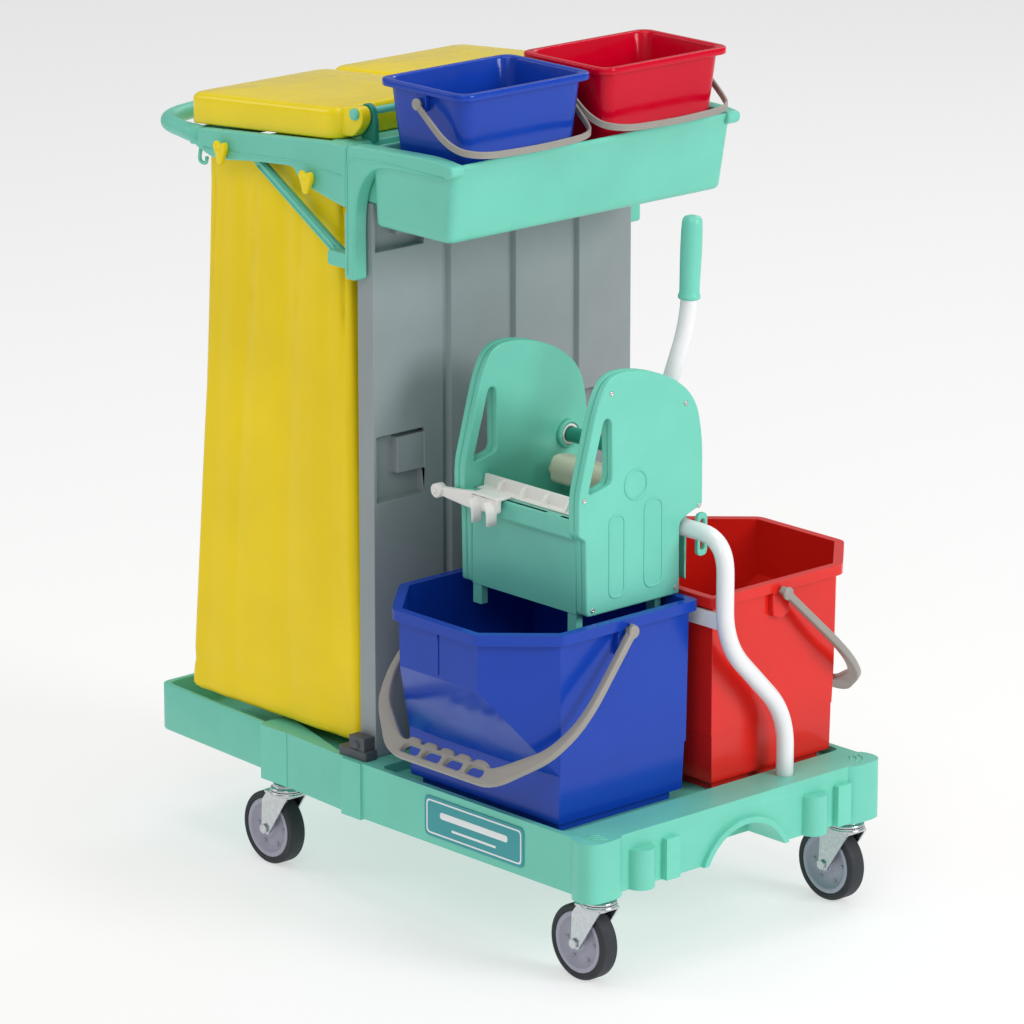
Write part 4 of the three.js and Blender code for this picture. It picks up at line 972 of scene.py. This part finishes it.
def buildSmallBail(tone, centre, rimY, z1):
    x, y = centre
    reach = rimY + 4
    z = z1 - 22
    path = smoothPath([(x, y - reach, z), (x + 62, y - reach - 0.4, z - 48), (x + 96, y - reach + 24, z - 55),
                       (x + 99, y, z - 57), (x + 96, y + reach - 24, z - 55),
                       (x + 62, y + reach + 0.4, z - 48), (x, y + reach, z)], 34, 10)
    tangent = np.gradient(path, axis=0)
    tangent /= np.linalg.norm(tangent, axis=1, keepdims=True)
    # the strip's flat faces look away from the bucket all the way round
    outward = path - np.array([x + 20, y, z])
    outward[:, 2] = 0
    outward -= tangent * (outward * tangent).sum(1, keepdims=True)
    outward /= np.linalg.norm(outward, axis=1, keepdims=True)
    third = np.cross(tangent, outward)
    section = stripSection(bailLook["width"], bailLook["thick"], bailLook["groove"])
    grid = path[:, None] + section[None, :, :1] * outward[:, None] + section[None, :, 1:] * third[:, None]
    body = f"small_{tone}_bail"
    addPiece(f"smallBailStrip{tone}", gridMesh("bail", grid), "bail", body, [f"small_bail_{tone}"])
    for side in (-1, 1):
        eye = [(0.01, -side * 6), (4.4, -side * 6), (4.4, -side * 2), (7.6, -side * 2), (7.6, side * 1.2),
               (6.6, side * 2.2), (0.01, side * 2.2)]
        addPiece(f"smallBailEye{tone}{'a' if side < 0 else 'b'}",
                 turnedMesh("eye", eye, (x, y + side * reach, z), "y", 24), "bail", body)


largeLook = {"edge": 5.0, "bailTurn": 45.0}


def buildLargeBucket(tone, finish):
    node = f"large_bucket_{tone}"
    x0, x1, y0, y1, z0, z1 = span(node)
    side = -1 if tone == "blue" else 1
    body = "root" if tone == "blue" else "red_bucket"
    bevelledCopy(node, finish, body, largeLook["edge"], 4, 22)
    x = (x0 + x1) / 2
    start = y1 if side < 0 else y0
    pivot = jointAt(f"{tone}_bail_lift")
    # the bail lies in a plane at 45 degrees through its pivots: u runs across and s away from them
    outer = [(166.5, -9, 7), (184, 138, 50), (163, 198, 22), (98, 259, 26)]
    inner = [(155.5, -9, 3), (172, 136, 46), (149, 188, 18), (88, 233, 20)]
    line = [(u, s, r) for u, s, r in outer] + [(-u, s, r) for u, s, r in reversed(outer)]
    back = [(-u, s, r) for u, s, r in inner]
    for i in range(5):
        # finger scallops along the grip's inner edge
        u = -62 + i * 31
        back += [(u - 13, 233, 2), (u - 9, 227, 6), (u + 9, 227, 6), (u + 13, 233, 2)]
    back += [(u, s, r) for u, s, r in reversed(inner)]
    windows = [closedOutline([(u - 15, 238), (u + 15, 238), (u + 17, 251), (u - 17, 251)], 6)
               for u in (-60, -20, 20, 60)]
    plate = plateMesh("bail", [closedOutline(line + back, 4)] + windows, -5.0, 5.0, "xy", 2.4, 3)
    points = np.empty(len(plate.vertices) * 3, np.float32)
    plate.vertices.foreach_get("co", points)
    flat = points.reshape(-1, 3) * 1000
    lean = math.radians(largeLook["bailTurn"])
    u, s, n = flat.T
    placed = np.stack([x + u, pivot[1] + side * (s * math.sin(lean) + n * math.cos(lean)),
                       pivot[2] - s * math.cos(lean) + n * math.sin(lean)], -1) / 1000
    plate.vertices.foreach_set("co", placed.astype(np.float32).ravel())
    addPiece(f"largeBailPlate{tone}", tidyMesh(plate), "bail", f"{tone}_bail", [f"large_bail_{tone}"])
    for hand in (-1, 1):
        pin = [(0.01, -hand * 7), (5, -hand * 7), (5, hand * 2), (8.5, hand * 2), (8.5, hand * 5.4),
               (7.4, hand * 6.4), (0.01, hand * 6.4)]
        letter = "a" if hand < 0 else "b"
        addPiece(f"largeBailPin{tone}{letter}",
                 turnedMesh("pin", pin, (x + hand * 161, pivot[1], pivot[2]), "x", 28), "bail",
                 f"{tone}_bail")
        # a raised socket plate under the rim that the pin turns in
        a, b = sorted((x + hand * 144, x + hand * 153.2))
        y = pivot[1]
        addPlate(f"largeSocket{tone}{letter}",
                 closedOutline([(y - 15, z1 - 14), (y - 15, z1 - 40), (y - 7, z1 - 50), (y + 7, z1 - 50),
                                (y + 15, z1 - 40), (y + 15, z1 - 14)], 5), a, b, "yz", finish, body, [], 2)
    # a thin moulding seam down the sloping face of the pouring end
    seamY = start + side * 307.6
    path = np.array([(x, seamY, z1 - 16), (x, seamY, 380)])
    addPiece(f"largeSeam{tone}", sweepMesh("seam", np.linspace(path[0], path[1], 6), circle(0.9, 8),
                                           (0, 1, 0)), finish, body)


# support tube and lever
tubeLook = {"radius": 11.5, "bend": 46.0}


def buildSupportTube():
    x0, x1, y0, y1, z0, z1 = span("support_tube")
    r = tubeLook["radius"]
    near, far, y, footY, bar = x1 - r + 0.3, x0 + r - 0.3, y0 + r, y1 - r, z1 - r
    path = smoothPath([(near, footY, z0), (near, footY, 280), (near, y, 395), (near, y, bar), (far, y, bar),
                       (far, y, 395), (far, footY, 280), (far, footY, z0)], tubeLook["bend"], 14)
    addPiece("supportBow", sweepMesh("bow", path, circle(r, 32), (0.05, 1, 0.2)), "tube", "root",
             ["support_tube"])
    tie = rectangle(far + 4, near - 4, 412, 434, 6)
    addPlate("supportTie", tie, y - 3.6, y + 3.6, "xz", "tube", "root", [], 1.6)
    for x in (near, far):
        collar = [(r + 0.2, 1), (r + 4.6, 1), (r + 5.4, 0), (r + 5.4, -4), (r + 0.2, -4)]
        collar.append(collar[0])
        addPiece(f"tubeCollar{'near' if x > 300 else 'far'}",
                 turnedMesh("collar", collar, (x, footY, span("base_platform")[5] - 13 + 1), "z", 32),
                 "mint", "root")


leverLook = {"radius": 11.0, "grip": 14.2}


def buildLever():
    gx0, gx1, gy0, gy1, gz0, gz1 = span("lever_grip")
    axle = jointAt("lever_pull")
    x = (gx0 + gx1) / 2
    start = np.array([x, axle[1] - 10, axle[2] + 35])
    knee = np.array([x, axle[1] + 48.5, axle[2] + 173])
    end = np.array([x, axle[1] + 53.8, axle[2] + 292])
    path = smoothPath([start, knee, end], 36, 20)
    addPiece("leverTube", sweepMesh("lever", path, circle(leverLook["radius"], 28), (1, 0, 0)), "tube",
             "lever", ["lever_tube"])
    ring = [(10.5, -9), (18, -9), (19, -8), (19, 8), (18, 9), (10.5, 9)]
    ring.append(ring[0])
    addPiece("leverClamp", turnedMesh("clamp", ring, (x, axle[1], axle[2]), "x", 40), "tube", "lever")
    stem = closedOutline([(axle[1] - 16, axle[2] + 8), (axle[1] + 8, axle[2] + 12),
                          (axle[1] + 4, axle[2] + 48), (axle[1] - 20, axle[2] + 44)], 6)
    addPlate("leverStem", stem, x - 8.5, x + 8.5, "yz", "tube", "lever", [], 4, 3)
    # grip: a straight sleeve, a little fuller in the middle, with a flared collar and a domed end
    a = np.array([x, axle[1] + 49.6, gz0 + 1])
    b = np.array([x, axle[1] + 54.6, gz1 - 1])
    share = np.array([0, 0.01, 0.03, 0.05, 0.07, 0.12, 0.25, 0.4, 0.55, 0.7, 0.82, 0.9, 0.95, 0.98, 0.995, 1])
    width = np.array([0.9, 1.0, 1.02, 1.0, 0.93, 0.91, 0.93, 0.96, 0.98, 0.98, 0.96, 0.93, 0.88, 0.72, 0.4,
                      0.1])
    line = a + (b - a) * share[:, None]
    addPiece("leverGripSleeve", sweepMesh("grip", line, circle(leverLook["grip"], 32), (1, 0, 0), width),
             "mint", "lever", ["lever_grip"])


# wringer
coverLook = {"edge": 2.6, "seam": 0.5}


def coverShape():
    s = [(-170, 452, 6), (-8, 452, 4), (-8, 546, 8), (12, 556, 10), (32, 561, 5), (32, 652, 30),
         (20, 706, 34), (-24, 741, 30), (-83, 760, 34), (-131, 760, 34), (-152, 728, 26), (-184, 612, 16),
         (-184, 560, 4), (-172, 552, 4)]
    return closedOutline(s, 4, 8)


def buildCover(name, outerFace):
    x0, x1 = span(f"wringer_cover_{name}")[:2]
    window = closedOutline([(-168, 610), (-127, 619), (-128, 702), (-140, 706)], 9)
    middle = (x0 + x1) / 2
    # two half shells meet at a fine seam line
    addPlate(f"coverInner{name}", [coverShape(), window], x0, middle - coverLook["seam"] / 2, "yz", "mint",
             "wringer", [f"wringer_cover_{name}"], coverLook["edge"], 3)
    addPlate(f"coverOuter{name}", [coverShape(), window], middle + coverLook["seam"] / 2, x1, "yz", "mint",
             "wringer", [], coverLook["edge"], 3)
    core = closedOutline([(-166, 456, 4), (-12, 456, 4), (-12, 552, 6), (28, 566, 4), (28, 650, 20),
                          (16, 702, 30),
                          (-26, 736, 26), (-84, 755, 30), (-128, 755, 30), (-148, 726, 20), (-180, 612, 14),
                          (-180, 560, 4), (-168, 552, 4)], 4, 8)
    addPlate(f"coverCore{name}", [core, closedOutline([(-172, 606), (-123, 615), (-124, 706), (-142, 711)],
                                                      10)],
             middle - 2, middle + 2, "yz", "mint", "wringer", [], 0.2)
    face = x1 if outerFace > 0 else x0
    sign = outerFace
    # a plain round boss, and two plain raised panels with rounded shoulders
    boss = [(17.4, -sign * 1), (17.6, sign * 1.0), (19.0, sign * 1.4), (20.4, sign * 1.0), (20.6, -sign * 1)]
    boss.append(boss[0])
    addPiece(f"coverBoss{name}", turnedMesh("boss", boss, (face, -86, 611), "x", 40), "mint", "wringer")
    for i, (ya, yb, bottom, top) in enumerate(((-133, -104, 468, 578), (-72, -38, 470, 588))):
        lane = closedOutline([(ya, bottom), (yb, bottom), (yb, top), (ya, top)], (yb - ya) / 2.05, 8)
        inside = closedOutline([(ya + 3, bottom + 3), (yb - 3, bottom + 3), (yb - 3, top - 3),
                                (ya + 3, top - 3)], (yb - ya - 6) / 2.05, 8)
        addPlate(f"coverBead{i}{name}", [lane, inside], *sorted((face - sign * 1.4, face + sign * 1.3)), "yz",
                 "mint", "wringer", [], 1.2, 3)
    for i, (y, z) in enumerate(((-128.6, 736.1), (0.5, 700.9), (-174.9, 605.3), (25.7, 562.2),
                                (-160.1, 459.9), (-15.7, 461.6))):
        rim = [(0.01, sign * 0.2), (1.0, sign * 0.2), (1.4, sign * 1.0), (2.6, sign * 1.1), (3.3, sign * 0.6),
               (3.4, -sign * 0.6)]
        addPiece(f"coverScrew{i}{name}", turnedMesh("screw", rim, (face, y, z), "x", 20), "screw", "wringer")


def buildWringer():
    buildCover("near", 1)
    buildCover("far", -1)
    x0, x1, y0 = span("wringer_body")[:3]
    bevelledCopy("wringer_body", "mint", "wringer", 1.4, 2)
    # rolled upper band of the front wall, with a half-round notch
    band = [(x0 + 1, 552, 4), (x1 - 1, 552, 4), (x1 - 1, 577, 4), (x1 - 26, 577, 3), (x1 - 28, 569, 8),
            (x1 - 43, 569, 8), (x1 - 46, 577, 3), (x0 + 1, 577, 4)]
    addPlate("frontBand", closedOutline(band, 3), y0 - 0.6, y0 + 9, "xz", "mint", "wringer", [], 2.4, 3)
    # slotted loop that hooks over the tube beside the near cover
    loop = [closedOutline([(20.5, 495, 8), (38, 495, 8), (38, 552, 8), (20.5, 552, 8)], 4, 6),
            closedOutline([(25.5, 503, 4), (33, 503, 4), (33, 544, 4), (25.5, 544, 4)], 4, 6)]
    nx1 = span("wringer_cover_near")[1]
    addPlate("hookLoop", loop, nx1 - 3, nx1 + 3.2, "yz", "mint", "wringer", [], 1.4)
    bevelledCopy("press_plate_fixed", "white", "wringer", 0.9, 2)
    px0, px1, py0, py1 = span("press_plate_fixed")[:4]
    for i in range(4):
        # gussets between the plate's top edge and the front band
        x = px0 + 36 + i * (px1 - px0 - 62) / 3
        gusset = closedOutline([(py0 + 1, 578, 1), (py0 + 16, 578, 1), (py1 - 2, 593, 1),
                                (py0 + 8, 590, 1)], 1)
        addPlate(f"plateGusset{i}", gusset, x - 2.2, x + 2.2, "yz", "white", "wringer", [], 0.5)
    addPlate("plateShelf", rectangle(px0, px1, py0 + 0.5, py1 - 2, 2), 576.5, 579, "xy", "white",
             "wringer", [], 0.8)
    mx0, mx1 = span("press_plate_moving")[:2]
    block = closedOutline([(-51, 566, 8), (-24, 562, 8), (-17, 570, 8), (-19, 601, 6), (-46, 603, 9),
                           (-53, 590, 8)], 4, 6)
    addPlate("pressBlock", block, mx0 + 15, mx1, "yz", "cream", "press_plate", ["press_plate_moving"], 5, 4)
    arm = closedOutline([(-22, 590, 5), (-18, 622, 12), (-4, 636, 14), (11, 620, 14), (8, 606, 12),
                         (-8, 590, 5)], 4, 6)
    addPlate("pressArm", [arm, circle(10.4, 28) + np.array([-4, 620])], mx1 - 27, mx1 - 15, "yz", "cream",
             "press_plate", [], 2)
    pin = [(0.01, -7), (5.4, -7), (6, -6), (6, 8), (0.01, 8)]
    addPiece("pressPin", turnedMesh("pin", pin, (mx0 + 8, -34, 578), "x", 24), "cream", "press_plate")
    # painted shade: the axle takes the darker copy of the mint
    bevelledCopy("wringer_axle", "darkMint", "lever", 1.2, 2)
    for end in ("near", "far"):
        bevelledCopy(f"axle_bush_{end}", "white", "wringer", 1.0, 2)
    fx = span("wringer_cover_far")[1]
    axle = jointAt("lever_pull")
    flange = [(14.6, 0), (19, 0), (19, 5), (18, 6.2), (14.6, 6.2)]
    flange.append(flange[0])
    addPiece("axleFlange", turnedMesh("flange", flange, (fx, axle[1], axle[2]), "x", 36), "mint", "wringer")
    buildArmClip()


clipLook = {"edge": 2.4}


def buildArmClip():
    # a tapered arm with a round end, and two curved jaws that hold a mop sleeve
    x0, x1, y0, y1, z0, z1 = span("arm_clip")
    left, right, back = x0 + 9.5, x1, y0 + 16
    arm = closedOutline([(left - 2, 565, 5), (left + 60, 559, 14), (right, 561, 5), (right, 582, 5),
                         (left + 62, 583, 14), (left + 44, 580, 10), (left - 2, 576, 5)], 4, 6)
    addPlate("clipArm", arm, back - 9, back - 0.4, "xz", "white", "wringer", ["arm_clip"],
             clipLook["edge"], 3)
    disc = [(0.01, -8), (8, -8), (9.4, -6.8), (9.4, 4.4), (8.4, 5.4), (0.01, 5.4)]
    addPiece("clipDisc", turnedMesh("disc", disc, (left, back - 6, 571), "y", 32), "white", "wringer")
    pin = [(0.01, -10.6), (2.6, -10.6), (3.2, -10), (3.2, -7.5), (0.01, -7.5)]
    addPiece("clipPin", turnedMesh("pin", pin, (left, back - 6, 571), "y", 20), "white", "wringer")
    for i, x in enumerate((left + 74, left + 102)):
        jaw = smoothPath([(x - 5, back - 6, 575), (x - 3, back - 12, 574), (x + 5, back - 14, 566),
                          (x + 4, back - 13, 547)], 10, 6)
        strip = stripSection(15, 4.2, 0.0)
        addPiece(f"clipJaw{i}", sweepMesh("jaw", jaw, strip, (0.2, 1, 0.3)), "white", "wringer")
    addPlate("clipTop", rectangle(left + 62, right, back - 9, y1, 3), z1 - 4.6, z1, "xy", "white",
             "wringer", [], 1.6)
    addPlate("clipBack", rectangle(left + 62, right, 572, z1 - 1, 2), back - 5, back - 0.4, "xz", "white",
             "wringer", [], 1.4)


# floor
def buildFloor():
    mesh = bpy.data.meshes.new("floor")
    edge = np.array([(-14, -14, 0), (14, -14, 0), (14, 14, 0), (-14, 14, 0)], float)
    mesh.from_pydata(edge.tolist(), [], [(0, 1, 2, 3)])
    floor = bpy.data.objects.new("floor", mesh)
    bpy.context.scene.collection.objects.link(floor)
    material = startMaterial("paleFloor", {"Roughness": 0.85, "Base Color": (0.46, 0.46, 0.46, 1),
                                           "Emission Color": (1, 1, 1, 1), "Emission Strength": 0.54})[0]
    mesh.materials.append(material)


buildFloor()
buildBase()
buildLabel()
for place in ("front_right", "rear_right", "front_left", "rear_left"):
    buildCaster(place)
print("base and casters ready")
buildPanel()
buildTray()
buildBagFrame()
for place in ("front", "rear"):
    buildBrace(place)
    buildLid(place)
    buildBag(place)
    buildKnob("inner", place)
    buildKnob("outer", place)
print("panel, tray, frame, lids and bags ready")
buildSmallBucket("blue", "blue")
buildSmallBucket("red", "smallRed")
buildLargeBucket("blue", "blue")
buildLargeBucket("red", "red")
buildSupportTube()
buildLever()
buildWringer()
print("buckets, tube, lever and wringer ready")

bpy.context.view_layer.update()
